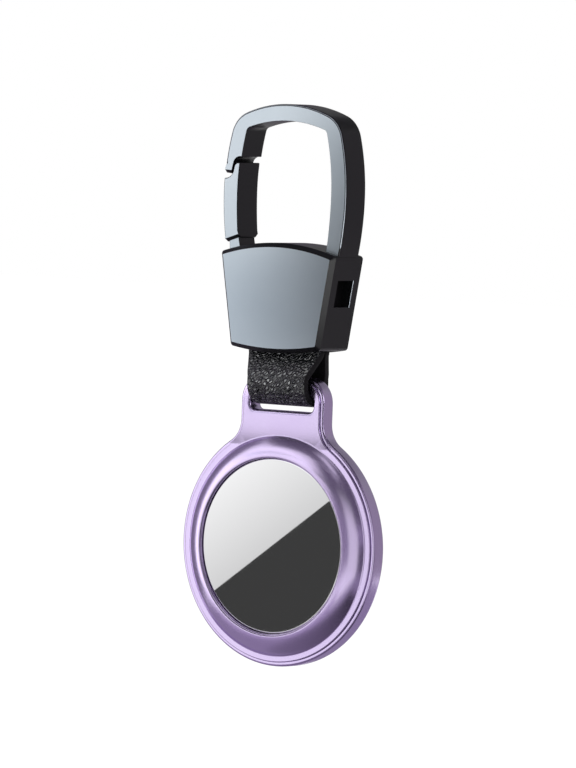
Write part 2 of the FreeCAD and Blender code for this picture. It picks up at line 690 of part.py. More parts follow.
# Case: plate outline with its tab, drawn inset by an expression
def case_outline(sketch, inset):
    """The ring and tab as one outline, seen from the front."""
    ring = f"(size.shell_radius - {inset})"
    half = f"(size.tab_half - {inset})"
    top = f"(size.tab_reach + size.bar_height / 2 - {inset})"
    corner = f"(size.tab_corner - {inset})"
    fillet = f"(size.tab_fillet + {inset})"
    level = f"sqrt(({ring} + {fillet}) ^ 2 - ({half} + {fillet}) ^ 2)"
    foot_x = f"(({half} + {fillet}) * {ring} / ({ring} + {fillet}))"
    foot_z = f"({level} * {ring} / ({ring} + {fillet}))"
    outline(sketch, [
        (foot_x, foot_z, fillet, "right"),
        (half, level),
        (half, f"{top} - {corner}", corner, "left"),
        (f"{half} - {corner}", top),
        (f"-({half} - {corner})", top, corner, "left"),
        (f"-{half}", f"{top} - {corner}"),
        (f"-{half}", level, fillet, "right"),
        (f"-{foot_x}", foot_z, ring, "left"),
        (f"-{ring}", "0", ring, "left"),
        ("0", f"-{ring}", ring, "left"),
        (ring, "0", ring, "left"),
    ])


SLOT_TOP = "(size.tab_reach - size.bar_height / 2)"
SLOT_BOTTOM = f"({SLOT_TOP} - size.slot_height)"


def cut_slot(body):
    """The strap's slot through a case piece, with its edges rounded on the outer face."""
    sketch = new_sketch(body, body.Label + "_slot", "XZ_Plane")
    half = "size.slot_half"
    corner = "size.slot_corner"
    outline(sketch, [
        (f"{half} - {corner}", SLOT_TOP),
        (f"-{half} + {corner}", SLOT_TOP, corner, "left"),
        (f"-{half}", f"{SLOT_TOP} - {corner}"),
        (f"-{half}", f"{SLOT_BOTTOM} + {corner}", corner, "left"),
        (f"-{half} + {corner}", SLOT_BOTTOM),
        (f"{half} - {corner}", SLOT_BOTTOM, corner, "left"),
        (half, f"{SLOT_BOTTOM} + {corner}"),
        (half, f"{SLOT_TOP} - {corner}", corner, "left"),
    ])
    pocket(body, sketch, "2 * size.case_plate", symmetric=True)


def round_slot(body, face_level, radius):
    """Rounds the slot's edges on the face at a level along Y."""
    drop = number(CASE_DROP)
    low = number(SLOT_BOTTOM) - drop
    high = number(SLOT_TOP) - drop

    def on_slot(point):
        within = low - TOLERANCE < point.z < high + TOLERANCE
        return near(point.y, face_level) and within and abs(point.x) < number("size.slot_half") + TOLERANCE

    dress(body, "Fillet", edges_at(body.Shape, on_slot), radius)


# Front cover: plate, then the turned bezel, then the slot
cover = new_body("front_cover", CASE_DROP)
sketch = new_sketch(cover, "cover_plate", "XZ_Plane", f"-{COVER_BACK}")
case_outline(sketch, "(size.rim_width + size.cover_seam)")
pad(cover, sketch, "size.cover_plate")
sketch = new_sketch(cover, "cover_hole", "XZ_Plane")
round_hole(sketch, "0", "0", "size.foot_radius")
pocket(cover, sketch, "2 * size.case_plate", symmetric=True)
SLOPE = "(size.bezel_rise / (size.foot_radius - size.crest_radius))"
SLOPE_SINE = f"(2 * {SLOPE} / (1 + {SLOPE} ^ 2))"
SLOPE_COSINE = f"((1 - {SLOPE} ^ 2) / (1 + {SLOPE} ^ 2))"
CREST_ARC = f"((size.foot_radius - size.crest_radius) / {SLOPE_SINE} - size.cove_radius)"
BEND_RADIUS = f"(size.foot_radius - size.cove_radius * {SLOPE_SINE})"
BEND_LEVEL = f"({PLATE_FRONT} - size.cove_radius * (1 - {SLOPE_COSINE}))"
LIP_BACK = f"({CREST} + size.lip_wall)"
sketch = new_sketch(cover, "bezel_profile", "XY_Plane")
outline(sketch, [
    ("size.opening_radius", LIP_BACK),
    ("size.opening_radius", f"{CREST} + size.crest_round", "size.crest_round", "left"),
    ("size.crest_radius", CREST, CREST_ARC, "left"),
    (BEND_RADIUS, BEND_LEVEL, "size.cove_radius", "right"),
    ("size.foot_radius", PLATE_FRONT),
    ("size.foot_radius", COVER_BACK),
    ("size.bezel_hollow", COVER_BACK),
    ("size.lip_back", LIP_BACK),
])
revolve(cover, sketch)
cut_slot(cover)
round_slot(cover, number(PLATE_FRONT), "size.slot_round")

# Rear shell: outline, recess for the cover, bore for the back, slot
shell = new_body("rear_shell", CASE_DROP)
RIM_FRONT = f"({PLATE_FRONT} + size.rim_step)"
sketch = new_sketch(shell, "shell_outline", "XZ_Plane", f"-{PLATE_BACK}")
case_outline(sketch, "0")
pad(shell, sketch, f"{PLATE_BACK} - {RIM_FRONT}")
sketch = new_sketch(shell, "cover_recess", "XZ_Plane", f"-{COVER_BACK}")
case_outline(sketch, "size.rim_width")
pocket(shell, sketch, "size.cover_plate", reverse=True)
sketch = new_sketch(shell, "back_bore", "XZ_Plane")
round_hole(sketch, "0", "0", "size.shell_bore")
pocket(shell, sketch, "2 * size.case_plate", symmetric=True)
cut_slot(shell)
round_slot(shell, number(PLATE_BACK), "size.slot_round")
case_centre = -number(CASE_DROP)
tab_top = case_centre + number("size.tab_reach + size.bar_height / 2")


def on_outer_edge(point, level):
    """Whether a point lies on the shell's outer edge, on the face at a level along Y."""
    on_ring = near(math.hypot(point.x, point.z - case_centre), number("size.shell_radius"))
    on_tab = near(abs(point.x), number("size.tab_half")) or near(point.z, tab_top)
    return (on_ring or on_tab) and near(point.y, level)


for face, radius in ((RIM_FRONT, "size.shell_front_edge"), (PLATE_BACK, "size.shell_rear_edge")):
    level = number(face)
    names = edges_at(shell.Shape, lambda point: on_outer_edge(point, level))
    dress(shell, "Fillet", names, radius)

# Case back: turned domed cap with a spigot and a groove for its seal
back = new_body("case_back", CASE_DROP)
SPIGOT_OUTER = "(size.shell_bore - size.back_fit)"
SPIGOT_INNER = "(size.tag_radius + size.tag_clearance)"
SPIGOT_END = f"({PLATE_BACK} - size.spigot_length)"
TAG_BELT = f"({TAG_FRONT} + size.tag_belt)"
TAG_SHOULDER = f"({TAG_BACK} - size.tag_shoulder_drop)"
SHOULDER_RISE = f"({TAG_SHOULDER} - {TAG_BELT})"
TAG_SHOULDER_ARC = f"((size.tag_shoulder_run ^ 2 + {SHOULDER_RISE} ^ 2) / (2 * size.tag_shoulder_run))"
TAG_DOME = "((size.tag_shoulder_radius ^ 2 + size.tag_shoulder_drop ^ 2) / (2 * size.tag_shoulder_drop))"
BACK_INNER = f"({TAG_BACK} + size.pad_thickness)"
INNER_SHOULDER = f"({TAG_SHOULDER} + size.tag_clearance)"
INNER_DOME_DROP = f"({BACK_INNER} - {INNER_SHOULDER})"
INNER_DOME = f"((size.tag_shoulder_radius ^ 2 + {INNER_DOME_DROP} ^ 2) / (2 * {INNER_DOME_DROP}))"
INNER_RUN = f"({SPIGOT_INNER} - size.tag_shoulder_radius)"
INNER_RISE = f"({INNER_SHOULDER} - {TAG_BELT})"
INNER_SHOULDER_ARC = f"(({INNER_RUN} ^ 2 + {INNER_RISE} ^ 2) / (2 * {INNER_RUN}))"
BACK_OUTER = f"({BACK_INNER} + size.back_wall)"
BACK_SHOULDER = f"({BACK_OUTER} - size.back_dome)"
OUTER_DOME = "((size.back_shoulder_radius ^ 2 + size.back_dome ^ 2) / (2 * size.back_dome))"
GROOVE_FRONT = f"({SPIGOT_END} + size.seal_setback - size.seal_wire / 2)"
GROOVE_FLOOR = f"({SPIGOT_OUTER} - size.seal_depth)"
sketch = new_sketch(back, "back_profile", "XY_Plane")
outline(sketch, [
    ("0", BACK_INNER, INNER_DOME, "right"),
    ("size.tag_shoulder_radius", INNER_SHOULDER, INNER_SHOULDER_ARC, "right"),
    (SPIGOT_INNER, TAG_BELT),
    (SPIGOT_INNER, SPIGOT_END),
    (SPIGOT_OUTER, SPIGOT_END),
    (SPIGOT_OUTER, GROOVE_FRONT),
    (GROOVE_FLOOR, GROOVE_FRONT),
    (GROOVE_FLOOR, f"{GROOVE_FRONT} + size.seal_wire"),
    (SPIGOT_OUTER, f"{GROOVE_FRONT} + size.seal_wire"),
    (SPIGOT_OUTER, PLATE_BACK),
    ("size.back_radius", PLATE_BACK),
    ("size.back_radius", f"{PLATE_BACK} + size.back_edge", "size.back_shoulder_arc", "left"),
    ("size.back_shoulder_radius", BACK_SHOULDER, OUTER_DOME, "left"),
    ("0", BACK_OUTER),
])
revolve(back, sketch)

# Seal ring in the spigot's groove
seal = doc.addObject("Part::Torus", "back_seal")
seal.Placement = Placement(Vector(), Rotation(Vector(1, 0, 0), -90))
bind(seal, Radius1=f"{GROOVE_FLOOR} + size.seal_wire / 2", Radius2="size.seal_wire / 2",
     Placement__Base__y=f"{GROOVE_FRONT} + size.seal_wire / 2", Placement__Base__z=f"-{CASE_DROP}")

# Foam pad between the tag's dome and the back
tag_pad = new_body("tag_pad", CASE_DROP)
PAD_FALL_IN = fallen(TAG_DOME, "size.pad_radius")
PAD_FALL_OUT = fallen(INNER_DOME, "size.pad_radius")
sketch = new_sketch(tag_pad, "pad_profile", "XY_Plane")
outline(sketch, [
    ("0", f"{TAG_BACK} + size.pad_skin", TAG_DOME, "right"),
    ("size.pad_radius", f"{TAG_BACK} + size.pad_skin - {PAD_FALL_IN}"),
    ("size.pad_radius", f"{BACK_INNER} - {PAD_FALL_OUT}", INNER_DOME, "left"),
    ("0", BACK_INNER),
])
revolve(tag_pad, sketch)

# Tag shell: turned cup with a battery bay, a dome pocket and a bayonet groove with entries
tag = new_body("tag_shell", CASE_DROP)
MOUTH_RADIUS = "(size.battery_cover_radius + size.battery_cover_clearance)"
MOUTH_FRONT = f"({TAG_FRONT} + size.tag_rim_setback)"
LEDGE = f"({TAG_FRONT} + size.bay_ledge)"
LUG_RADIUS = "(size.skirt_radius + size.lug_reach)"
LUG_BACK = f"({TAG_FRONT} + size.battery_cover_thickness + size.skirt_length)"
LUG_FRONT = f"({LUG_BACK} - size.lug_thickness)"
GROOVE_RADIUS = f"({LUG_RADIUS} + size.lug_clearance)"
LUG_GROOVE_FRONT = f"({LUG_FRONT} - size.lug_clearance)"
LUG_GROOVE_BACK = f"({LUG_BACK} + size.lug_clearance)"
POCKET_FLOOR = f"({TAG_BACK} - size.dome_wall)"
sketch = new_sketch(tag, "tag_profile", "XY_Plane")
outline(sketch, [
    (MOUTH_RADIUS, MOUTH_FRONT),
    ("size.tag_rim_radius", MOUTH_FRONT, "size.tag_rim_arc", "left"),
    ("size.tag_radius", TAG_BELT, TAG_SHOULDER_ARC, "left"),
    ("size.tag_shoulder_radius", TAG_SHOULDER, TAG_DOME, "left"),
    ("0", TAG_BACK),
    ("0", POCKET_FLOOR),
    ("size.dome_pocket_radius", POCKET_FLOOR),
    ("size.dome_pocket_radius", BAY_FLOOR),
    ("size.bay_radius", BAY_FLOOR),
    ("size.bay_radius", LUG_GROOVE_BACK),
    (GROOVE_RADIUS, LUG_GROOVE_BACK),
    (GROOVE_RADIUS, LUG_GROOVE_FRONT),
    ("size.bay_radius", LUG_GROOVE_FRONT),
    ("size.bay_radius", LEDGE),
    (MOUTH_RADIUS, LEDGE),
])
revolve(tag, sketch)


def sector(sketch, inner, outer, low, high):
    """A piece of a ring between two radii and two angles."""
    outline(sketch, [
        (f"{inner} * cos({low})", f"{inner} * sin({low})"),
        (f"{outer} * cos({low})", f"{outer} * sin({low})", outer, "left"),
        (f"{outer} * cos({high})", f"{outer} * sin({high})"),
        (f"{inner} * cos({high})", f"{inner} * sin({high})", inner, "right"),
    ])


def around(body, feature):
    """Repeats a feature for each bayonet lug."""
    pattern = body.newObject("PartDesign::PolarPattern", feature.Name + "_around")
    axes = {item.Role: item for item in body.Origin.OriginFeatures}
    pattern.Originals = [feature]
    pattern.Axis = (axes["Y_Axis"], [""])
    pattern.Angle = 360
    bind(pattern, Occurrences="size.lug_count")
    body.Tip = pattern
    doc.recompute()


LUG_LOW = "(-size.lug_angle / 2 * 1deg)"
LUG_HIGH = "(size.lug_angle / 2 * 1deg)"
ENTRY_TURN = "(size.cover_twist * 1deg)"
ENTRY_ROOM = f"(size.lug_clearance / {LUG_RADIUS} * 1rad)"
sketch = new_sketch(tag, "lug_entry", "XZ_Plane", f"-{LUG_FRONT}")
sector(sketch, "size.skirt_radius", GROOVE_RADIUS, f"({LUG_LOW} + {ENTRY_TURN} - {ENTRY_ROOM})",
       f"({LUG_HIGH} + {ENTRY_TURN} + {ENTRY_ROOM})")
around(tag, pocket(tag, sketch, "size.skirt_length", reverse=True))

# Battery cover: steel disc with a skirt and bayonet lugs
lid = new_body("battery_cover", CASE_DROP)
LID_BACK = f"({TAG_FRONT} + size.battery_cover_thickness)"
sketch = new_sketch(lid, "lid_disc", "XZ_Plane", f"-{LID_BACK}")
round_hole(sketch, "0", "0", "size.battery_cover_radius")
pad(lid, sketch, "size.battery_cover_thickness")
sketch = new_sketch(lid, "lid_skirt", "XZ_Plane", f"-{LUG_BACK}")
round_hole(sketch, "0", "0", "size.skirt_radius")
round_hole(sketch, "0", "0", "size.skirt_radius - size.skirt_wall")
pad(lid, sketch, "size.skirt_length")
sketch = new_sketch(lid, "lid_lug", "XZ_Plane", f"-{LUG_BACK}")
sector(sketch, "(size.skirt_radius - size.skirt_wall / 2)", LUG_RADIUS, LUG_LOW, LUG_HIGH)
around(lid, pad(lid, sketch, "size.lug_thickness"))

# Gasket under the battery cover, on the bay's ledge
gasket = new_body("cover_gasket", CASE_DROP)
sketch = new_sketch(gasket, "gasket_ring", "XZ_Plane", f"-{LEDGE}")
round_hole(sketch, "0", "0", f"{MOUTH_RADIUS} - size.gasket_inset")
round_hole(sketch, "0", "0", f"{GROOVE_RADIUS} + size.lug_clearance")
pad(gasket, sketch, "size.gasket_thickness")

# Coin cell: can and stepped cap
cell = new_body("coin_cell", CASE_DROP)
CELL_FRONT = f"({TAG_FRONT} + size.cell_setback)"
CELL_BACK = f"({CELL_FRONT} + size.cell_thickness)"
sketch = new_sketch(cell, "cell_can", "XZ_Plane", f"-({CELL_BACK} - size.cell_cap_step)")
round_hole(sketch, "0", "0", "size.cell_radius")
pad(cell, sketch, "size.cell_thickness - size.cell_cap_step")
sketch = new_sketch(cell, "cell_cap", "XZ_Plane", f"-{CELL_BACK}")
round_hole(sketch, "0", "0", "size.cell_cap_radius")
pad(cell, sketch, "size.cell_cap_step")

# Circuit board on the bay's floor
board = new_body("circuit_board", CASE_DROP)
BOARD_BACK = f"({BAY_FLOOR} - size.board_seat)"
BOARD_FRONT = f"({BOARD_BACK} - size.board_thickness)"
sketch = new_sketch(board, "board_disc", "XZ_Plane", f"-{BOARD_BACK}")
round_hole(sketch, "0", "0", "size.board_radius")
pad(board, sketch, "size.board_thickness")

# Battery contacts: a leaf beside the can, and one between the cap and the board
positive = doc.addObject("Part::Box", "positive_contact")
bind(positive, Length="size.contact_leaf", Width="size.positive_contact_rise", Height="size.contact_width",
     Placement__Base__x="size.cell_radius + size.contact_gap",
     Placement__Base__y=f"{BOARD_FRONT} - size.positive_contact_rise",
     Placement__Base__z=f"-{CASE_DROP} - size.contact_width / 2")
negative = doc.addObject("Part::Box", "negative_contact")
bind(negative, Length="size.contact_width", Width=f"{BOARD_FRONT} - {CELL_BACK} - size.contact_gap",
     Height="size.contact_width", Placement__Base__x="-size.contact_width / 2",
     Placement__Base__y=f"{CELL_BACK} + size.contact_gap",
     Placement__Base__z=f"-{CASE_DROP} - size.contact_width / 2")

# Speaker: magnet on the board, coil glued to the dome around it
magnet = doc.addObject("Part::Cylinder", "speaker_magnet")
magnet.Placement = Placement(Vector(), Rotation(Vector(1, 0, 0), -90))
bind(magnet, Radius="size.magnet_radius", Height="size.magnet_height", Placement__Base__y=BOARD_BACK,
     Placement__Base__z=f"-{CASE_DROP}")
voice_coil = new_body("speaker_coil", CASE_DROP)
sketch = new_sketch(voice_coil, "coil_ring", "XZ_Plane", f"-({POCKET_FLOOR} - size.coil_seat)")
round_hole(sketch, "0", "0", "size.coil_radius")
round_hole(sketch, "0", "0", "size.coil_radius - size.coil_wall")
pad(voice_coil, sketch, "size.coil_height")

doc.recompute()
PIECES = [frame, gate, gate_pin, gate_spring, strap_bar, strap, cover, shell, back, seal, tag_pad, tag, lid,
          gasket, cell, board, positive, negative, magnet, voice_coil]
for item in doc.Objects:
    if "Invalid" in item.State or "Error" in item.State:
        raise ValueError(f"{item.Name} failed: {item.State}")
for piece in PIECES:
    if piece.Shape.isNull() or not piece.Shape.isValid() or len(piece.Shape.Solids) != 1:
        raise ValueError(f"{piece.Label} is not one valid solid")
os.makedirs("parts", exist_ok=True)
for piece in PIECES:
    piece.Shape.exportStep(f"parts/{piece.Label}.step")
    print(piece.Label, round(piece.Shape.Volume, 2))
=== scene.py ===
"""Tracker tag holder: a carabiner hook, a folded leather strap and a round metal case with a tag in it."""
import json
import math
import bmesh
import bpy
from mathutils import Matrix, Vector

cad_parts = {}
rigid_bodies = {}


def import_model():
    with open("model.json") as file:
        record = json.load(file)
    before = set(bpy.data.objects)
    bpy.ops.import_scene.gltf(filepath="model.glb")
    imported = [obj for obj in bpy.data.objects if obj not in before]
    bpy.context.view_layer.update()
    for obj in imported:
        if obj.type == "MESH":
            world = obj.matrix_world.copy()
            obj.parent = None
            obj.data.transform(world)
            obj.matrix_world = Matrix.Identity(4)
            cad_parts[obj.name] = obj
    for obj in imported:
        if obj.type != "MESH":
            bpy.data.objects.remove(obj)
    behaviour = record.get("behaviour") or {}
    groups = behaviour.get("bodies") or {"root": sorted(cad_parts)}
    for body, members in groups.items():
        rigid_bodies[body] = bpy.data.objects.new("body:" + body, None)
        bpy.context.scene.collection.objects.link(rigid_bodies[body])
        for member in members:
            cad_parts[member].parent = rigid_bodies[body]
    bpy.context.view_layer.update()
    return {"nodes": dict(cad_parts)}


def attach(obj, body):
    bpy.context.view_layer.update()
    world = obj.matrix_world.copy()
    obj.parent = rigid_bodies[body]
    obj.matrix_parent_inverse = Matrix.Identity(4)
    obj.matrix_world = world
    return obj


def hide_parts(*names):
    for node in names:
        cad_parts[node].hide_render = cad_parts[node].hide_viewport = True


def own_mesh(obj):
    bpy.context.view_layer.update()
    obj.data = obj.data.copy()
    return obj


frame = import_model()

# Hook casting: one zinc die casting of the housing, the arch with its leg, and the nose that the
# gate closes against. It is plated black, then its flat front and rear faces are satin ground.
MM = 0.001
NEAR, TOLERANCE = 0.001, 0.01
SHARP, FLAT, MOSTLY = 30, 0.99, 0.5
FRONT_VIEW = {"across": (1, 0, 0), "up": (0, 0, 1)}
ALONG_X, ALONG_Y = (0, math.pi / 2, 0), (math.pi / 2, 0, 0)


def linear(code):
    """Linear colour with alpha from an sRGB hex value."""
    shares = [int(code[place:place + 2], 16) / 255 for place in (1, 3, 5)]
    return (*[share / 12.92 if share <= 0.04045 else ((share + 0.055) / 1.055) ** 2.4
              for share in shares], 1)


def add_node(tree, kind, sockets, **settings):
    """Adds a shader node with its settings, and fills or links its sockets."""
    node = tree.nodes.new("ShaderNode" + kind)
    for name, value in settings.items():
        setattr(node, name, value)
    for name, value in sockets.items():
        if isinstance(value, bpy.types.NodeSocket):
            tree.links.new(value, node.inputs[name])
        else:
            node.inputs[name].default_value = value
    return node


def new_finish(name):
    """A new material, its node tree, and the place on the piece that its patterns read."""
    finish = bpy.data.materials.new(name)
    finish.use_nodes = True
    finish.node_tree.nodes.clear()
    place = add_node(finish.node_tree, "TexCoord", {}).outputs["Object"]
    return finish, finish.node_tree, place


def let_go():
    """Leaves edit mode and selects nothing."""
    if bpy.context.mode == "EDIT_MESH":
        bpy.ops.object.mode_set(mode="OBJECT")
    bpy.ops.object.select_all(action="DESELECT")


def begin(name):
    """A new empty piece at the origin, in edit mode."""
    let_go()
    bpy.ops.mesh.primitive_plane_add(size=MM)
    piece = bpy.context.object
    piece.name = name
    piece.data.name = name
    bpy.ops.object.mode_set(mode="EDIT")
    bpy.ops.mesh.delete(type="VERT")
    return piece


def extrude(run):
    """Extrudes what is selected along a run."""
    bpy.ops.mesh.extrude_region_move(TRANSFORM_OT_translate={"value": run})


ARC_STEP, ARC_RUN, ARC_LEAST = math.radians(5), 0.5, 4


def trace(corners, across, up, origin, closed=True):
    """Draws an outline in edit mode from one point, whose straight runs are extruded and arcs spun.

    A corner is (x, y), or (x, y, radius, turn) where an arc leads on, with a turn of 1 to the left.
    """
    across, up, origin = Vector(across), Vector(up), Vector(origin)
    spots = [origin + (across * corner[0] + up * corner[1]) * MM for corner in corners]
    bpy.ops.mesh.select_mode(type="VERT")
    bpy.ops.mesh.select_all(action="DESELECT")
    bpy.ops.mesh.primitive_plane_add(size=MM, location=spots[0])
    bpy.ops.mesh.merge(type="CENTER")
    for index, corner in enumerate(corners if closed else corners[:-1]):
        here, there = spots[index], spots[(index + 1) % len(spots)]
        run = there - here
        if len(corner) == 2:
            extrude(run)
            continue
        radius, turn = corner[2] * MM, corner[3]
        half = math.asin(min(run.length / 2 / radius, 1))
        left = up.cross(across).cross(run).normalized() * -1
        centre = (here + there) / 2 + left * radius * math.cos(half) * turn
        steps = max(ARC_LEAST, round(2 * half / ARC_STEP), round(2 * half * radius / (ARC_RUN * MM)))
        bpy.ops.mesh.spin(steps=steps, angle=2 * half * turn, center=centre, axis=up.cross(across))
    bpy.ops.mesh.select_linked()
    bpy.ops.mesh.remove_doubles(threshold=NEAR * MM)


def slab(name, corners, front, rear, middle=Vector()):
    """A slab of an outline about a middle, between two levels along Y, in edit mode."""
    piece = begin(name)
    trace(corners, origin=middle + Vector((0, front * MM, 0)), **FRONT_VIEW)
    bpy.ops.mesh.edge_face_add()
    extrude((0, (rear - front) * MM, 0))
    bpy.ops.mesh.select_all(action="SELECT")
    bpy.ops.mesh.normals_make_consistent(inside=False)
    return piece


def choose(kind, test):
    """Selects the vertices, edges or faces that pass a test in edit mode, and tells how many."""
    mesh = bmesh.from_edit_mesh(bpy.context.object.data)
    bpy.ops.mesh.select_mode(type=kind)
    bpy.ops.mesh.select_all(action="DESELECT")
    parts = {"VERT": mesh.verts, "EDGE": mesh.edges, "FACE": mesh.faces}[kind]
    parts.ensure_lookup_table()
    chosen = [part for part in parts if test(part)]
    for part in chosen:
        part.select_set(True)
    mesh.select_flush_mode()
    bmesh.update_edit_mesh(bpy.context.object.data)
    return len(chosen)


def bevel(width, steps, **settings):
    """Bevels the selected edges by a width in millimetres."""
    bpy.ops.mesh.bevel(offset=width * MM, segments=steps, affect="EDGES", **settings)


MERGED, COLLAPSED = 0.015, 0.005


def break_edges(width, sharpness=SHARP):
    """Rounds every sharp edge of the piece in edit mode a little."""
    bpy.ops.mesh.select_mode(type="EDGE")
    bpy.ops.mesh.select_all(action="SELECT")
    bpy.ops.mesh.normals_make_consistent(inside=False)
    bpy.ops.mesh.select_all(action="DESELECT")
    bpy.ops.mesh.edges_select_sharp(sharpness=math.radians(sharpness))
    bevel(width, 2, clamp_overlap=True)
    bpy.ops.mesh.select_all(action="SELECT")
    bpy.ops.mesh.remove_doubles(threshold=MERGED * MM)
    bpy.ops.mesh.dissolve_degenerate(threshold=COLLAPSED * MM)


def pick(piece):
    """Leaves edit mode and makes a piece the active one, and the only one selected."""
    let_go()
    bpy.context.view_layer.objects.active = piece
    piece.select_set(True)


def combine(piece, other, operation="DIFFERENCE"):
    """Cuts another piece out of a piece or joins it on, and removes the other."""
    pick(piece)
    step = piece.modifiers.new("combine", "BOOLEAN")
    step.object = other
    step.operation = operation
    step.solver = "EXACT"
    bpy.ops.object.modifier_apply(modifier=step.name)
    bpy.data.objects.remove(other)


def box_cutter(low, high):
    """A block between two corners in millimetres, for cutting."""
    low, high = Vector(low) * MM, Vector(high) * MM
    let_go()
    bpy.ops.mesh.primitive_cube_add(size=1, location=(low + high) / 2, scale=high - low)
    bpy.ops.object.transform_apply(location=True, rotation=True, scale=True)
    return bpy.context.object


def rod_cutter(radius, length, middle, turn, sides=48):
    """A rod of a radius and length in millimetres about its middle, for cutting."""
    let_go()
    bpy.ops.mesh.primitive_cylinder_add(vertices=sides, radius=radius * MM, depth=length * MM,
                                        location=Vector(middle) * MM, rotation=turn)
    bpy.ops.object.transform_apply(location=True, rotation=True, scale=True)
    return bpy.context.object


def smooth(piece, angle=SHARP):
    """Smooth shading that keeps flat faces flat."""
    pick(piece)
    bpy.ops.object.shade_smooth_by_angle(angle=math.radians(angle))
    step = piece.modifiers.new("flat faces", "WEIGHTED_NORMAL")
    step.keep_sharp = True
    step.weight = 100
    bpy.ops.object.modifier_apply(modifier=step.name)


def fallen(radius, half):
    """How far an arc falls from its top to half a chord away."""
    return radius - math.sqrt(radius ** 2 - half ** 2)


def on_face(edge, half_depth):
    """Whether an edge lies on the front or rear face of a piece of half a depth."""
    levels = [vertex.co.y / MM for vertex in edge.verts]
    return abs(levels[0] - levels[1]) < NEAR and abs(abs(levels[0]) - half_depth) < NEAR


HOUSING_HALF_DEPTH = 4.1
HOUSING_CROWN, HOUSING_TOP_HALF, HOUSING_TOP_ARC = -18.65, 11.05, 36.8
HOUSING_BELLY, HOUSING_FOOT_HALF, HOUSING_FOOT_ARC = -35.5, 8.62, 48.0
HOUSING_TOP = HOUSING_CROWN - fallen(HOUSING_TOP_ARC, HOUSING_TOP_HALF)
HOUSING_FOOT = HOUSING_BELLY + fallen(HOUSING_FOOT_ARC, HOUSING_FOOT_HALF)
HOUSING_CHAMFER, HOUSING_CORNER, FINE_EDGE = 0.68, 0.35, 0.1
hook = slab("hook_casting", [
    (HOUSING_TOP_HALF, HOUSING_TOP, HOUSING_TOP_ARC, 1),
    (-HOUSING_TOP_HALF, HOUSING_TOP),
    (-HOUSING_FOOT_HALF, HOUSING_FOOT, HOUSING_FOOT_ARC, 1),
    (HOUSING_FOOT_HALF, HOUSING_FOOT),
], -HOUSING_HALF_DEPTH, HOUSING_HALF_DEPTH)
choose("EDGE", lambda edge: on_face(edge, HOUSING_HALF_DEPTH))
bevel(HOUSING_CHAMFER, 1)
choose("EDGE", lambda edge: abs((edge.verts[0].co - edge.verts[1].co).normalized().y) > MOSTLY
       and edge.calc_face_angle(0) > math.radians(SHARP))
bevel(HOUSING_CORNER, 4)
break_edges(FINE_EDGE)

HOOK_HALF_DEPTH = 2.5
BELLY_DROP, BELLY_INNER, BELLY_OUTER = 11.1, 8.92, 11.8


def bow(belly, end, drop):
    """Radius of a leg's arc from the belly, where it is upright, to another drop."""
    return ((belly - end) ** 2 + (drop - BELLY_DROP) ** 2) / 2 / (belly - end)


def leg_side(belly, radius, drop):
    """Half-width of the loop at a drop on a leg's arc."""
    return belly - fallen(radius, drop - BELLY_DROP)


def rounded(centre_a, radius_a, centre_b, radius_b, radius):
    """The two points where a corner arc leaves the arcs a and b, both hollow to the same side."""
    a, b = Vector(centre_a), Vector(centre_b)
    reach_a, reach_b = radius_a - radius, radius_b - radius
    span = (b - a).length
    along = (reach_a ** 2 - reach_b ** 2 + span ** 2) / 2 / span
    aside = math.sqrt(reach_a ** 2 - along ** 2)
    way = (b - a).normalized()
    middle = a + way * along + Vector((way.y, -way.x)) * aside
    return [tuple(c + (middle - c).normalized() * r) for c, r in ((a, radius_a), (b, radius_b))]


ARCH_TOP, ARCH_OUTER_ARC, ARCH_INNER_ARC = 2.57, 21.5, 23.0
ARCH_OUTER_CORNER, ARCH_INNER_CORNER = 4.5, 0.9
SHOULDER_OUTER, SHOULDER_INNER = 10.0, 7.62
LEG_FOOT, LEG_FOOT_OUTER, LEG_FOOT_INNER = -21.5, 10.6, 8.05
upper_inner = bow(BELLY_INNER, SHOULDER_INNER, fallen(ARCH_INNER_ARC, SHOULDER_INNER))
upper_outer = bow(BELLY_OUTER, SHOULDER_OUTER, fallen(ARCH_OUTER_ARC, SHOULDER_OUTER) - ARCH_TOP)
lower_inner = bow(BELLY_INNER, LEG_FOOT_INNER, -LEG_FOOT)
lower_outer = bow(BELLY_OUTER, LEG_FOOT_OUTER, -LEG_FOOT)
outer_leg = (BELLY_OUTER - upper_outer, -BELLY_DROP)
inner_leg = (BELLY_INNER - upper_inner, -BELLY_DROP)
outer_top, outer_side = rounded((0, ARCH_TOP - ARCH_OUTER_ARC), ARCH_OUTER_ARC, outer_leg, upper_outer,
                                ARCH_OUTER_CORNER)
inner_top, inner_side = rounded((0, -ARCH_INNER_ARC), ARCH_INNER_ARC, inner_leg, upper_inner,
                                ARCH_INNER_CORNER)
NOSE_FOOT, NOSE_TIP, NOSE_STEP, NOSE_HOLLOW, NOSE_ROOT = 8.3, (10.5, 8.4), (10.1, 6.75), 1.3, 5.75
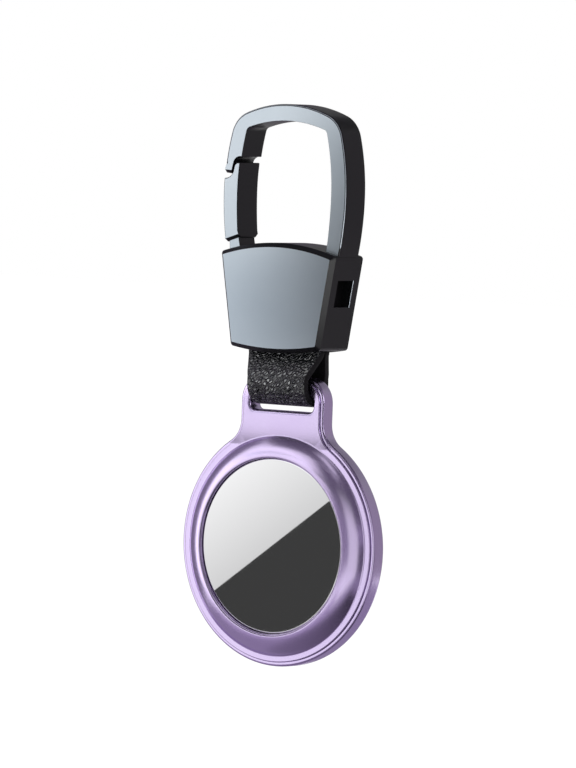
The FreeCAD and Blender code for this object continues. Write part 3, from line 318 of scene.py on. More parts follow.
arch = slab("arch", [
    (LEG_FOOT_OUTER, LEG_FOOT, lower_outer, 1),
    (BELLY_OUTER, -BELLY_DROP, upper_outer, 1),
    (*outer_side, ARCH_OUTER_CORNER, 1),
    (*outer_top, ARCH_OUTER_ARC, 1),
    (-outer_top[0], outer_top[1], ARCH_OUTER_CORNER, 1),
    (-outer_side[0], outer_side[1], upper_outer, 1),
    (-leg_side(BELLY_OUTER, upper_outer, NOSE_FOOT), -NOSE_FOOT),
    (-NOSE_TIP[0], -NOSE_TIP[1]),
    (-NOSE_STEP[0], -NOSE_STEP[1], NOSE_HOLLOW, -1),
    (-leg_side(BELLY_INNER, upper_inner, NOSE_ROOT), -NOSE_ROOT, upper_inner, -1),
    (-inner_side[0], inner_side[1], ARCH_INNER_CORNER, -1),
    (-inner_top[0], inner_top[1], ARCH_INNER_ARC, -1),
    (*inner_top, ARCH_INNER_CORNER, -1),
    (*inner_side, upper_inner, -1),
    (BELLY_INNER, -BELLY_DROP, lower_inner, -1),
    (LEG_FOOT_INNER, LEG_FOOT),
], -HOOK_HALF_DEPTH, HOOK_HALF_DEPTH)
HEAD_DROP, HEAD_RISE, HEAD_HALF, SIDE_SKIN = 4, 0.3, 8.3, 0.4


def outside(point):
    """Whether a point lies on the arch's outer side."""
    across, drop = abs(point.x) / MM, -point.z / MM
    if drop < HEAD_DROP:
        return drop < -HEAD_RISE or across > HEAD_HALF
    radius = upper_outer if drop < BELLY_DROP else lower_outer
    return across > leg_side(BELLY_OUTER, radius, drop) - SIDE_SKIN


def on_nose_end(vertex):
    """Whether a point lies on the nose's lower end."""
    return (vertex.co.x < -NOSE_STEP[0] * MM
            and NOSE_FOOT - TOLERANCE < -vertex.co.z / MM < NOSE_TIP[1] + TOLERANCE)


NOSE_CHAMFER, NOSE_ROUNDED, OUTER_ROUND, CAST_EDGE = 0.5, 7.3, 0.3, 0.14
choose("EDGE", lambda edge: on_face(edge, HOOK_HALF_DEPTH) and all(on_nose_end(v) for v in edge.verts))
bevel(NOSE_CHAMFER, 1)
choose("EDGE", lambda edge: on_face(edge, HOOK_HALF_DEPTH)
       and all(outside(v.co) and (v.co.x > 0 or v.co.z > -NOSE_ROUNDED * MM) for v in edge.verts))
bevel(OUTER_ROUND, 4)
break_edges(CAST_EDGE)
combine(hook, arch, "UNION")

BELOW, BESIDE, HOLE_LENGTH = -40, 12, 8
POCKET_HALF, POCKET_HALF_DEPTH, POCKET_TOP = 7.6, 2.9, -23.5
pocket = box_cutter((-POCKET_HALF, -POCKET_HALF_DEPTH, BELOW), (POCKET_HALF, POCKET_HALF_DEPTH, POCKET_TOP))
combine(hook, pocket)
WINDOW_HALF_DEPTH, WINDOW_LOW, WINDOW_HIGH = 1.95, -28.1, -24.0
combine(hook, box_cutter((0, -WINDOW_HALF_DEPTH, WINDOW_LOW), (BESIDE, WINDOW_HALF_DEPTH, WINDOW_HIGH)))
FORK_HALF_DEPTH = 2.1
FORK_OUTLINE = [(-11.8, -23.4), (-7.9, -23.4), (-7.9, -22.0), (-6.25, -18.13), (-11.8, -18.13)]
fork = slab("fork", FORK_OUTLINE, -FORK_HALF_DEPTH, FORK_HALF_DEPTH)
combine(hook, fork)
PIN_ACROSS, PIN_LEVEL, PIN_HOLE, PIN_HOLE_DEPTH = -9.3, -22.0, 0.6, 0.8
combine(hook, rod_cutter(PIN_HOLE, HOLE_LENGTH, (PIN_ACROSS, PIN_HOLE_DEPTH, PIN_LEVEL), ALONG_Y))
BAR_LEVEL, BAR_HOLE, BAR_HOLE_MIDDLE = -26.05, 1.0, -5.2
combine(hook, rod_cutter(BAR_HOLE, HOLE_LENGTH, (BAR_HOLE_MIDDLE, 0, BAR_LEVEL), ALONG_X))
SPRING_LEVEL, SPRING_HOLE, SPRING_HOLE_LENGTH, SPRING_HOLE_MIDDLE = -20.7, 0.95, 6, -6.2
combine(hook, rod_cutter(SPRING_HOLE, SPRING_HOLE_LENGTH, (SPRING_HOLE_MIDDLE, 0, SPRING_LEVEL), ALONG_X))


def speckled(name, tones, metal, rough, grain, detail, relief=None, cloud=None):
    """A finish whose roughness and relief follow a fine noise, of a grain in millimetres.

    Its tones mix by the same noise, or by a broad one of a cloud in millimetres. The relief is a strength
    and a depth in millimetres.
    """
    finish, tree, place = new_finish(name)
    fine = add_node(tree, "TexNoise", {"Vector": place, "Scale": 1 / (grain * MM), "Detail": detail})
    broad = fine
    if cloud:
        broad = add_node(tree, "TexNoise", {"Vector": place, "Scale": 1 / (cloud * MM), "Detail": 2})
    tone = add_node(tree, "Mix", {"Factor": broad.outputs["Fac"], "A": linear(tones[0]),
                    "B": linear(tones[-1])}, data_type="RGBA")
    dull = add_node(tree, "MapRange", {"Value": fine.outputs["Fac"], "To Min": rough[0], "To Max": rough[1]})
    shader = add_node(tree, "BsdfPrincipled", {"Base Color": tone.outputs["Result"], "Metallic": metal,
                      "Roughness": dull.outputs["Result"]})
    if relief:
        bump = add_node(tree, "Bump", {"Height": fine.outputs["Fac"], "Strength": relief[0],
                        "Distance": relief[1] * MM})
        tree.links.new(bump.outputs["Normal"], shader.inputs["Normal"])
    add_node(tree, "OutputMaterial", {"Surface": shader.outputs["BSDF"]})
    return finish


# Black nickel over cast zinc gives a near-black, softly glossy skin with the faint waviness of the casting.
black_plating = speckled("black_nickel_plated_zinc", ("#0b0c0e",), metal=0.1, rough=(0.3, 0.4), grain=0.9,
                         detail=3, relief=(0.03, 0.02))

# Grinding gives the flat faces a pale, cool, even sheen in which reflections have soft edges. The grit
# marks of about 0.03 mm are too fine to show, so they are drawn at 0.12 mm.
ground_faces = speckled("satin_ground_gunmetal", ("#c6d0d8", "#ced7de"), metal=0.95, rough=(0.36, 0.44),
                        grain=0.12, detail=2, relief=(0.04, 0.01), cloud=6)


def plate(piece, levels):
    """Black plating all over, and satin ground faces where the piece is flat at a level along Y."""
    for finish in (black_plating, ground_faces):
        piece.data.materials.append(finish)
    pick(piece)
    bpy.ops.object.mode_set(mode="EDIT")
    choose("FACE", lambda face: abs(face.normal.y) > FLAT
           and any(abs(abs(face.calc_center_median().y) - level * MM) < TOLERANCE * MM for level in levels))
    piece.active_material_index = 1
    bpy.ops.object.material_slot_assign()
    bpy.ops.mesh.region_to_loop()
    bpy.ops.mesh.mark_sharp()


def housing_side(height):
    """Half-width of the housing at a height."""
    share = (height - HOUSING_TOP) / (HOUSING_FOOT - HOUSING_TOP)
    return HOUSING_TOP_HALF + (HOUSING_FOOT_HALF - HOUSING_TOP_HALF) * share


def on_window_edge(vertex):
    """Whether a point lies on the window's rear or lower edge in the housing's side."""
    across, depth, height = vertex.co / MM
    rear = abs(depth - WINDOW_HALF_DEPTH) < TOLERANCE
    low = abs(height - WINDOW_LOW) < TOLERANCE
    within = (abs(depth) < WINDOW_HALF_DEPTH + TOLERANCE
              and WINDOW_LOW - TOLERANCE < height < WINDOW_HIGH + TOLERANCE)
    return (rear or low) and within and abs(across - housing_side(height)) < 2 * TOLERANCE


plate(hook, (HOUSING_HALF_DEPTH, HOOK_HALF_DEPTH))
ROUND_LEAST, ROUND_MOST, ABOVE_HOUSING, WINDOW_EDGE = 0.78, 0.88, -19, 0.05
# Painted highlight: a strip of the arch's outer rounding takes the pale ground finish, which draws a thin
# light line along the black edge.
choose("FACE", lambda face: ROUND_LEAST < abs(face.normal.y) < ROUND_MOST
       and face.calc_center_median().z > ABOVE_HOUSING * MM and outside(face.calc_center_median()))
bpy.ops.object.material_slot_assign()
# Painted highlight: the window's rear and lower edges get a fine bevel in the pale ground finish, a thin
# light line in the black side.
choose("EDGE", lambda edge: all(on_window_edge(vertex) for vertex in edge.verts))
bevel(WINDOW_EDGE, 1)
bpy.ops.object.material_slot_assign()
smooth(hook)
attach(hook, "hook")
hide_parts("hook_frame")

# Gate: a zinc lever with a stepped latch, plated and ground like the casting. Its tongue turns on a
# steel pin in the housing's fork, and a small spring behind the tongue keeps it shut.
LATCH_GAP = 0.32
FLANK_SLANT = (NOSE_TIP[0] - NOSE_STEP[0]) / (NOSE_TIP[1] - NOSE_STEP[1])


def flank(drop):
    """Half-width of the latch's flank, a gap away from the nose."""
    return NOSE_TIP[0] - LATCH_GAP * math.hypot(1, FLANK_SLANT) - (NOSE_TIP[1] - drop) * FLANK_SLANT


GATE_INNER, GATE_TOP, GATE_TOP_HOLLOW = 9.05, 9.1, 1.7
GATE_FOOT_OUTER, GATE_FOOT_INNER, GATE_CHAMFER = 18.93, 18.13, 0.55
LATCH_TOP, LATCH_FLAT, LATCH_ROUND = 6.67, 0.55, 0.95
FLANK_TOP, FLANK_FOOT = 7.45, 8.1
latch_inner = leg_side(GATE_INNER, upper_inner, LATCH_TOP)
gate = slab("gate_lever", [
    (-leg_side(BELLY_OUTER, upper_outer, GATE_TOP), -GATE_TOP, upper_outer, 1),
    (-BELLY_OUTER, -BELLY_DROP, lower_outer, 1),
    (-leg_side(BELLY_OUTER, lower_outer, GATE_FOOT_OUTER), -GATE_FOOT_OUTER),
    (-leg_side(GATE_INNER, lower_inner, GATE_FOOT_INNER), -GATE_FOOT_INNER, lower_inner, -1),
    (-GATE_INNER, -BELLY_DROP, upper_inner, -1),
    (-latch_inner, -LATCH_TOP),
    (-latch_inner - LATCH_FLAT, -LATCH_TOP, LATCH_ROUND, 1),
    (-flank(FLANK_TOP), -FLANK_TOP),
    (-flank(FLANK_FOOT), -FLANK_FOOT, GATE_TOP_HOLLOW, -1),
], -HOOK_HALF_DEPTH, HOOK_HALF_DEPTH)
choose("EDGE", lambda edge: on_face(edge, HOOK_HALF_DEPTH)
       and all(v.co.z < (TOLERANCE - GATE_FOOT_INNER) * MM for v in edge.verts)
       and abs(edge.verts[0].co.x - edge.verts[1].co.x) > MM)
bevel(GATE_CHAMFER, 1)
break_edges(CAST_EDGE)
TONGUE_HALF_DEPTH, TONGUE_ROUND, TONGUE_TOP = 1.95, 1.25, -17.33
tongue = slab("tongue", [
    (-10.85, TONGUE_TOP), (PIN_ACROSS - TONGUE_ROUND, PIN_LEVEL, TONGUE_ROUND, 1),
    (PIN_ACROSS, PIN_LEVEL - TONGUE_ROUND, TONGUE_ROUND, 1), (PIN_ACROSS + TONGUE_ROUND, PIN_LEVEL),
    (-8.85, -18.6), (-GATE_INNER, TONGUE_TOP),
], -TONGUE_HALF_DEPTH, TONGUE_HALF_DEPTH)
break_edges(FINE_EDGE)
combine(gate, tongue, "UNION")
GATE_BORE = 0.65
combine(gate, rod_cutter(GATE_BORE, HOLE_LENGTH, (PIN_ACROSS, 0, PIN_LEVEL), ALONG_Y))
plate(gate, (HOOK_HALF_DEPTH, TONGUE_HALF_DEPTH))
smooth(gate)
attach(gate, "gate")
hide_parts("gate")

# Gate pin, gate spring and strap bar: plain steel parts pressed or dropped into the casting. The pin's end
# is flush with the rear face, and the bar's square black head sits deep in the side window.

# Drawing leaves the bare steel bright, with a slightly uneven gloss. The die marks of a few hundredths of
# a millimetre are too fine to show, so they are drawn at 0.15 mm.
bright_steel = speckled("drawn_steel_wire", ("#b9babd",), metal=1, rough=(0.22, 0.36), grain=0.15, detail=2)

# The oxide bath gives a dull, cloudy black that hardly reflects.
black_oxide = speckled("black_oxide_steel", ("#08080a",), metal=0.7, rough=(0.5, 0.7), grain=0.4, detail=3)
nodes = frame["nodes"]
for name, finish in (("gate_pin", bright_steel), ("strap_bar", black_oxide)):
    nodes[name].data.materials.clear()
    nodes[name].data.materials.append(finish)

SPRING_SEAT, SPRING_END = -3.2, -8.0
SPRING_WIRE, SPRING_COIL, SPRING_TURNS, SPRING_SIDES, SPRING_STEPS = 0.15, 0.7, 5, 12, 32
spring = begin("gate_coil_spring")
bpy.ops.mesh.primitive_circle_add(vertices=SPRING_SIDES, radius=SPRING_WIRE * MM, rotation=ALONG_Y,
                                  location=Vector((SPRING_END + SPRING_WIRE, 0, SPRING_COIL)) * MM)
bpy.ops.object.mode_set(mode="OBJECT")
winding = spring.modifiers.new("winding", "SCREW")
winding.axis = "X"
winding.screw_offset = (SPRING_SEAT - SPRING_END - 2 * SPRING_WIRE) / SPRING_TURNS * MM
winding.iterations = SPRING_TURNS
winding.steps = winding.render_steps = SPRING_STEPS
bpy.ops.object.modifier_apply(modifier=winding.name)
bpy.ops.object.mode_set(mode="EDIT")
bpy.ops.mesh.select_all(action="SELECT")
bpy.ops.mesh.fill_holes(sides=0)
bpy.ops.mesh.select_all(action="SELECT")
bpy.ops.mesh.normals_make_consistent(inside=False)
bpy.ops.transform.translate(value=(0, 0, SPRING_LEVEL * MM))
bpy.ops.object.mode_set(mode="OBJECT")
bpy.ops.object.shade_smooth_by_angle(angle=math.radians(60))
spring.data.materials.append(bright_steel)
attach(spring, "hook")
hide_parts("gate_spring")
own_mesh(spring)

# Strap: one band of black pebbled leather, 1.2 mm thick. It is folded round the bar inside the housing and
# through the case's slot, sewn together in between, and cut narrower towards the case.
STRAP_HALF, STRAP_FOOT_HALF, LEATHER, LEATHER_EDGE = 7.0, 5.54, 1.18, 0.2
FOLD_LEVEL = -40.45
STRAP_LINE = [
    (0, -43.0, 2.55, 1), (2.55, FOLD_LEVEL), (2.55, -39.75, 2.6, 1), (2.224, -38.49),
    (0.85, -36.01, 2.0, -1), (0.6, -35.04), (0.6, -30.3), (1.597, -26.46, 1.65, 1), (0, -24.4, 1.65, 1),
    (-1.597, -26.46), (-0.6, -30.3), (-0.6, -35.04, 2.0, -1), (-0.85, -36.01), (-2.224, -38.49, 2.6, 1),
    (-2.55, -39.75), (-2.55, FOLD_LEVEL, 2.55, 1),
]
strap = begin("leather_strap")
trace(STRAP_LINE, across=(0, 1, 0), up=(0, 0, 1), origin=(-STRAP_HALF * MM, 0, 0))
STRAP_RUNS, STRAP_CUTS = (3.0, 1.5, 0.75), 27
for length in STRAP_RUNS:
    choose("EDGE", lambda edge: edge.calc_length() > length * MM)
    bpy.ops.mesh.subdivide(number_cuts=1)
bpy.ops.mesh.select_all(action="SELECT")
extrude((2 * STRAP_HALF * MM, 0, 0))
choose("EDGE", lambda edge: abs(edge.verts[0].co.x - edge.verts[1].co.x) > STRAP_HALF * MM)
bpy.ops.mesh.subdivide(number_cuts=STRAP_CUTS)
bpy.ops.mesh.select_all(action="SELECT")
bpy.ops.mesh.normals_make_consistent(inside=False)
bpy.ops.object.mode_set(mode="OBJECT")
TAPER_HIGH, TAPER_LOW = -35.41, -39.36
for vertex in strap.data.vertices:
    share = min(max((vertex.co.z / MM - TAPER_LOW) / (TAPER_HIGH - TAPER_LOW), 0), 1)
    vertex.co.x *= (STRAP_FOOT_HALF + (STRAP_HALF - STRAP_FOOT_HALF) * share) / STRAP_HALF
wall = strap.modifiers.new("thickness", "SOLIDIFY")
wall.thickness = LEATHER * MM
wall.offset = 0
bpy.ops.object.modifier_apply(modifier=wall.name)
bpy.ops.object.mode_set(mode="EDIT")
break_edges(LEATHER_EDGE, sharpness=60)
bpy.ops.object.mode_set(mode="OBJECT")
bpy.ops.object.shade_smooth_by_angle(angle=math.radians(40))

# Embossing and wax give slanting oblong pebbles, whose tops catch small bright glints between dull furrows.
# The furrows are painted a darker black, as their shade. The wax is glossier than bare leather, so its index
# is above the usual 1.5.
leather, tree, place = new_finish("pebbled_black_leather")
grain = add_node(tree, "Mapping", {"Vector": place, "Rotation": (0, math.radians(48), 0),
                 "Scale": (1, 1, 2.3)}, vector_type="TEXTURE")
pebble = add_node(tree, "TexVoronoi", {"Vector": grain.outputs["Vector"], "Scale": 1 / (0.43 * MM),
                  "Randomness": 0.7}, feature="DISTANCE_TO_EDGE")
pore = add_node(tree, "TexNoise", {"Vector": place, "Scale": 1 / (0.5 * MM), "Detail": 2})
dome = add_node(tree, "MapRange", {"Value": pebble.outputs["Distance"], "From Max": 0.26},
                interpolation_type="SMOOTHSTEP").outputs["Result"]
relief = add_node(tree, "Math", {0: pore.outputs["Fac"], 1: 0.15, 2: dome}, operation="MULTIPLY_ADD")
bump = add_node(tree, "Bump", {"Height": relief.outputs[0], "Strength": 1.0, "Distance": 0.15 * MM})
# Painted shade: the furrows are a darker black than the pebble tops.
tone = add_node(tree, "Mix", {"Factor": dome, "A": linear("#0c0d0f"), "B": linear("#1e2126")},
                data_type="RGBA")
rough = add_node(tree, "MapRange", {"Value": pore.outputs["Fac"], "To Min": 0.2, "To Max": 0.28})
waxed = add_node(tree, "MapRange", {"Value": dome, "To Min": 0.3, "To Max": 0.9})
shader = add_node(tree, "BsdfPrincipled", {"Base Color": tone.outputs["Result"], "IOR": 2.0,
                  "Specular IOR Level": waxed.outputs["Result"], "Roughness": rough.outputs["Result"],
                  "Normal": bump.outputs["Normal"]})
add_node(tree, "OutputMaterial", {"Surface": shader.outputs["BSDF"]})

# Cutting and dyeing give the edge a dull black with loose fibres. They are finer than a tenth of a
# millimetre, too fine to show, so they are drawn at 0.3 mm. The flesh side, left as it was split, gives a
# napped black that takes in nearly all light, with a nap drawn at 0.2 mm for the same reason.
strap.data.materials.append(leather)
for name, fibre_size, dark, light, depth, dull, shine in (
        ("dyed_leather_edge", 0.3, "#0b0b0c", "#161617", 0.05, 0.7, 0.3),
        ("napped_leather_flesh_side", 0.2, "#060607", "#0f0f10", 0.04, 0.9, 0.15)):
    finish, tree, place = new_finish(name)
    fibre = add_node(tree, "TexNoise", {"Vector": place, "Scale": 1 / (fibre_size * MM), "Detail": 4})
    bump = add_node(tree, "Bump", {"Height": fibre.outputs["Fac"], "Strength": 0.3, "Distance": depth * MM})
    tone = add_node(tree, "Mix", {"Factor": fibre.outputs["Fac"], "A": linear(dark),
                    "B": linear(light)}, data_type="RGBA")
    shader = add_node(tree, "BsdfPrincipled", {"Base Color": tone.outputs["Result"], "Roughness": dull,
                      "Specular IOR Level": shine, "Normal": bump.outputs["Normal"]})
    add_node(tree, "OutputMaterial", {"Surface": shader.outputs["BSDF"]})
    strap.data.materials.append(finish)
SEWN_LOW, SEWN_HIGH = -35.5, -29


def inside_fold(face):
    """Whether a face lies inside one of the strap's two folds, or between its sewn layers."""
    middle = face.calc_center_median() / MM
    fold = min((FOLD_LEVEL, BAR_LEVEL), key=lambda height: abs(middle.z - height))
    if SEWN_LOW < middle.z < SEWN_HIGH:
        return face.normal.y * middle.y < 0
    return face.normal.y * middle.y + face.normal.z * (middle.z - fold) < 0


bpy.ops.object.mode_set(mode="EDIT")
for index, test in ((1, lambda face: abs(face.normal.x) > MOSTLY),
                    (2, lambda face: abs(face.normal.x) < MOSTLY and inside_fold(face))):
    choose("FACE", test)
    strap.active_material_index = index
    bpy.ops.object.material_slot_assign()
bpy.ops.object.mode_set(mode="OBJECT")
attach(strap, "strap")
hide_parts("strap")

# Rear shell: a machined aluminium ring with a slotted tab, bead blasted and anodised lilac. The front cover
# is glued into its recess, so that the shell shows as a narrow ledge all round it.
CASE_Z = -65.11
AXIS = Vector((0, 0, CASE_Z * MM))
PLATE_FRONT, PLATE_BACK, RIM_FRONT, COVER_BACK = -1.45, 1.45, -1.15, -0.45
RING_RADIUS, TAB_HALF, TAB_TOP, TAB_CORNER, TAB_FILLET = 18.55, 8.02, 26.1, 4.0, 4.0


def case_outline(inset):
    """Corners of the ring and tab, drawn in by an inset."""
    ring, half, top = RING_RADIUS - inset, TAB_HALF - inset, TAB_TOP - inset
    corner, fillet = TAB_CORNER - inset, TAB_FILLET + inset
    level = math.sqrt((ring + fillet) ** 2 - (half + fillet) ** 2)
    share = ring / (ring + fillet)
    foot = ((half + fillet) * share, level * share)
    return [(*foot, fillet, -1), (half, level), (half, top - corner, corner, 1), (half - corner, top),
            (corner - half, top, corner, 1), (-half, top - corner), (-half, level, fillet, -1),
            (-foot[0], foot[1], ring, 1), (-ring, 0, ring, 1), (0, -ring, ring, 1), (ring, 0, ring, 1)]


SLOT_HALF, SLOT_LOW, SLOT_HIGH, SLOT_CORNER = 6.02, 20.72, 23.1, 0.9
SLOT_ROLL = 0.55


def slot_outline(grown):
    """Corners of the strap's slot, drawn out by a growth."""
    half, low, high, corner = SLOT_HALF + grown, SLOT_LOW - grown, SLOT_HIGH + grown, SLOT_CORNER + grown
    return [(half - corner, high), (corner - half, high, corner, 1), (-half, high - corner),
            (-half, low + corner, corner, 1), (corner - half, low), (half - corner, low, corner, 1),
            (half, low + corner), (half, high - corner, corner, 1)]


def at_level(edge, level):
    """Whether an edge lies at a level along Y."""
    return all(abs(vertex.co.y - level * MM) < NEAR * MM for vertex in edge.verts)


def near_slot(vertex):
    """Whether a point lies on the slot's rolled edge or within it."""
    reach = SLOT_ROLL + TOLERANCE
    height = (vertex.co.z - AXIS.z) / MM
    return abs(vertex.co.x) < (SLOT_HALF + reach) * MM and SLOT_LOW - reach < height < SLOT_HIGH + reach


def by_slot(part):
    """Whether an edge or face lies on the slot's rolled edge or within it."""
    return all(near_slot(vertex) for vertex in part.verts)


RIM_EDGE, REAR_EDGE, RIM_WIDTH, CUT_PAST = 0.38, 0.6, 0.62, 3
shell = slab("rear_shell_ring", case_outline(0), RIM_FRONT, PLATE_BACK, AXIS)
for level, width, steps in ((RIM_FRONT, RIM_EDGE, 5), (PLATE_BACK, REAR_EDGE, 6)):
    choose("EDGE", lambda edge: at_level(edge, level))
    bevel(width, steps)
recess = slab("recess", case_outline(RIM_WIDTH), COVER_BACK - CUT_PAST, COVER_BACK, AXIS)
combine(shell, recess)
BORE, BORE_LENGTH, BORE_SIDES, SLOT_LENGTH = 17.05, 9, 232, 8
combine(shell, rod_cutter(BORE, BORE_LENGTH, (0, 0, CASE_Z), ALONG_Y, BORE_SIDES))
slot = slab("slot", slot_outline(0), -SLOT_LENGTH / 2, SLOT_LENGTH / 2, AXIS)
combine(shell, slot)
bpy.ops.object.mode_set(mode="EDIT")
choose("EDGE", lambda edge: at_level(edge, PLATE_BACK) and by_slot(edge))
bevel(SLOT_ROLL, 5, loop_slide=False)
CASE_SHARP = 35
smooth(shell, CASE_SHARP)

# Blasting softens what the metal reflects, and the dyed oxide tints it lilac. The pits of about 0.04 mm are
# too fine to show, so they are drawn at 0.09 mm.
lilac = speckled("bead_blasted_lilac_anodised_aluminium", ("#dac8f1", "#e0d0f5"), metal=1, rough=(0.2, 0.27),
                 grain=0.09, detail=2, relief=(0.04, 0.008), cloud=5)
shell.data.materials.append(lilac)
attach(shell, "case")
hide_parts("rear_shell")

# Front cover: a pressed and turned aluminium plate with a raised bezel round the tag, of the same finish.
# Its edge leaves a fine dark seam inside the shell's ledge.
COVER_INSET, RING_STEPS = 0.68, 240
cover_face = AXIS + Vector((0, PLATE_FRONT * MM, 0))
cover = begin("front_cover_plate")
trace(case_outline(COVER_INSET), origin=cover_face, **FRONT_VIEW)
trace(slot_outline(SLOT_ROLL), origin=cover_face, **FRONT_VIEW)
bpy.ops.mesh.primitive_circle_add(vertices=RING_STEPS, radius=BORE * MM, rotation=ALONG_Y,
                                  location=cover_face)
bpy.ops.mesh.select_all(action="SELECT")
bpy.ops.mesh.fill(use_beauty=True)
extrude((0, (COVER_BACK - PLATE_FRONT) * MM, 0))


def from_axis(point):
    """Distance of a point from the case's axis, in millimetres."""
    return math.hypot(point.x, point.z - AXIS.z) / MM


def on_round(part, radius):
    """Whether an edge or face lies at a radius about the case's axis."""
    return all(abs(from_axis(vertex.co) - radius) < TOLERANCE for vertex in part.verts)


choose("FACE", lambda face: by_slot(face) or on_round(face, BORE))
bpy.ops.mesh.delete(type="ONLY_FACE")
bpy.ops.mesh.select_all(action="SELECT")
bpy.ops.mesh.delete_loose(use_verts=False, use_edges=True, use_faces=False)
choose("EDGE", lambda edge: at_level(edge, PLATE_FRONT) and on_round(edge, BORE))


def arc_points(centre, radius, start, stop, steps):
    """Points of an arc between two angles in degrees, without its first."""
    angles = [math.radians(start + (stop - start) * step / steps) for step in range(1, steps + 1)]
    return [(centre[0] + radius * math.cos(angle), centre[1] + radius * math.sin(angle)) for angle in angles]


CREST, LIP_BACK, LIP_MIDDLE, OPENING = -3.2, -2.2, 13.85, 13.5
LIP_ROOT, BEZEL_ROOT = 14.2, 16.35
BEND, RIM_TILT = 49.07, 10.0
COVE, CREST_ARC, LIP = 0.4, 4.875, 0.35
COVE_STEPS, CREST_STEPS, LIP_STEPS = 6, 18, 7
bezel = arc_points((BORE, PLATE_FRONT - COVE), COVE, 90, 90 + BEND, COVE_STEPS)
bezel += arc_points((LIP_MIDDLE - (CREST_ARC - LIP) * math.sin(math.radians(RIM_TILT)),
                     CREST + LIP + (CREST_ARC - LIP) * math.cos(math.radians(RIM_TILT))),
                    CREST_ARC, -90 + BEND, -90 + RIM_TILT, CREST_STEPS)
bezel += arc_points((LIP_MIDDLE, CREST + LIP), LIP, -90 + RIM_TILT, -180, LIP_STEPS)
bezel += [(OPENING, LIP_BACK), (LIP_ROOT, LIP_BACK), (BEZEL_ROOT, COVER_BACK), (BORE, COVER_BACK)]
reached, level = BORE, PLATE_FRONT
for radius, height in bezel:
    extrude((0, (height - level) * MM, 0))
    bpy.ops.transform.resize(value=(radius / reached, 1, radius / reached), center_override=AXIS)
    reached, level = radius, height

SLOT_MIDDLE = (SLOT_LOW + SLOT_HIGH) / 2
CORNER_ACROSS, CORNER_ALONG = SLOT_HALF - SLOT_CORNER, SLOT_HIGH - SLOT_MIDDLE - SLOT_CORNER


def open_by_slot(edge):
    """Whether an edge at the level reached is open and lies by the slot."""
    return at_level(edge, level) and by_slot(edge) and edge.is_boundary


grown, level = SLOT_ROLL, PLATE_FRONT
for turn in (18, 36, 54, 72, 90):
    sunk = PLATE_FRONT + SLOT_ROLL * (1 - math.cos(math.radians(turn)))
    left = SLOT_ROLL * (1 - math.sin(math.radians(turn)))
    choose("EDGE", open_by_slot)
    extrude((0, (sunk - level) * MM, 0))
    for across, along in ((1, 1), (-1, 1), (-1, -1), (1, -1)):
        choose("VERT", lambda vertex: vertex.is_boundary and near_slot(vertex)
               and abs(vertex.co.y - sunk * MM) < NEAR * MM and vertex.co.x * across > 0
               and (vertex.co.z - AXIS.z - SLOT_MIDDLE * MM) * along > 0)
        share = (SLOT_CORNER + left) / (SLOT_CORNER + grown)
        corner = Vector((across * CORNER_ACROSS, 0, SLOT_MIDDLE + along * CORNER_ALONG)) * MM
        bpy.ops.transform.resize(value=(share, 1, share), center_override=AXIS + corner)
    grown, level = left, sunk
choose("EDGE", open_by_slot)
extrude((0, (COVER_BACK - level) * MM, 0))
level = COVER_BACK
choose("EDGE", open_by_slot)
bpy.ops.mesh.bridge_edge_loops()
bpy.ops.mesh.select_all(action="SELECT")
bpy.ops.mesh.remove_doubles(threshold=2 * NEAR * MM)
bpy.ops.mesh.normals_make_consistent(inside=False)
COVER_EDGE, CORNER_ANGLE, CREASE_ANGLE, PAST_BORE = 0.14, 1, 0.05, 0.1
choose("EDGE", lambda edge: at_level(edge, PLATE_FRONT) and not by_slot(edge)
       and edge.calc_face_angle(0) > CORNER_ANGLE)
bevel(COVER_EDGE, 3)
choose("EDGE", lambda edge: at_level(edge, PLATE_FRONT) and not by_slot(edge)
       and edge.calc_face_angle(0) > CREASE_ANGLE
       and all(from_axis(vertex.co) > BORE + PAST_BORE for vertex in edge.verts))
bpy.ops.mesh.mark_sharp()
smooth(cover, CASE_SHARP)
cover.data.materials.append(lilac)
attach(cover, "case")
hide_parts("front_cover")

# Case back: a turned aluminium cap, pressed into the shell from behind with a rubber ring in its groove.
# Its rim lies over the bore's edge, so that a nail can lift it.
TURNED = {"across": (1, 0, 0), "up": (0, 1, 0), "origin": AXIS, "closed": False}


def turn_round():
    """Spins the drawn profile once round the case's axis and closes it."""
    bpy.ops.mesh.spin(steps=RING_STEPS, angle=2 * math.pi, center=AXIS, axis=(0, 1, 0))
    bpy.ops.mesh.select_all(action="SELECT")
    bpy.ops.mesh.remove_doubles(threshold=NEAR * MM)
    bpy.ops.mesh.normals_make_consistent(inside=False)


BACK_INNER, BACK_DOME = 6.2, 31.525
SPIGOT_INNER, SPIGOT, GROOVE, BACK_RADIUS = 16.2, 16.97, 16.52, 17.9
BACK_PROFILE = [
    (0, BACK_INNER, BACK_DOME, -1), (10.5, 4.4, 4.3246, -1), (SPIGOT_INNER, 0.3), (SPIGOT_INNER, 0.25),
    (SPIGOT, 0.25), (SPIGOT, 0.6), (GROOVE, 0.6), (GROOVE, 1.1), (SPIGOT, 1.1), (SPIGOT, 1.47),
    (17.75, 1.47, 0.15, 1), (BACK_RADIUS, 1.62), (BACK_RADIUS, 1.9, 9.0, 1), (11.5, 5.75, 58.1, 1), (0, 6.9),
]
back_cap = begin("case_back_cap")
trace(BACK_PROFILE, **TURNED)
turn_round()
smooth(back_cap, CASE_SHARP)
back_cap.data.materials.append(lilac)
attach(back_cap, "case_back")
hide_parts("case_back")

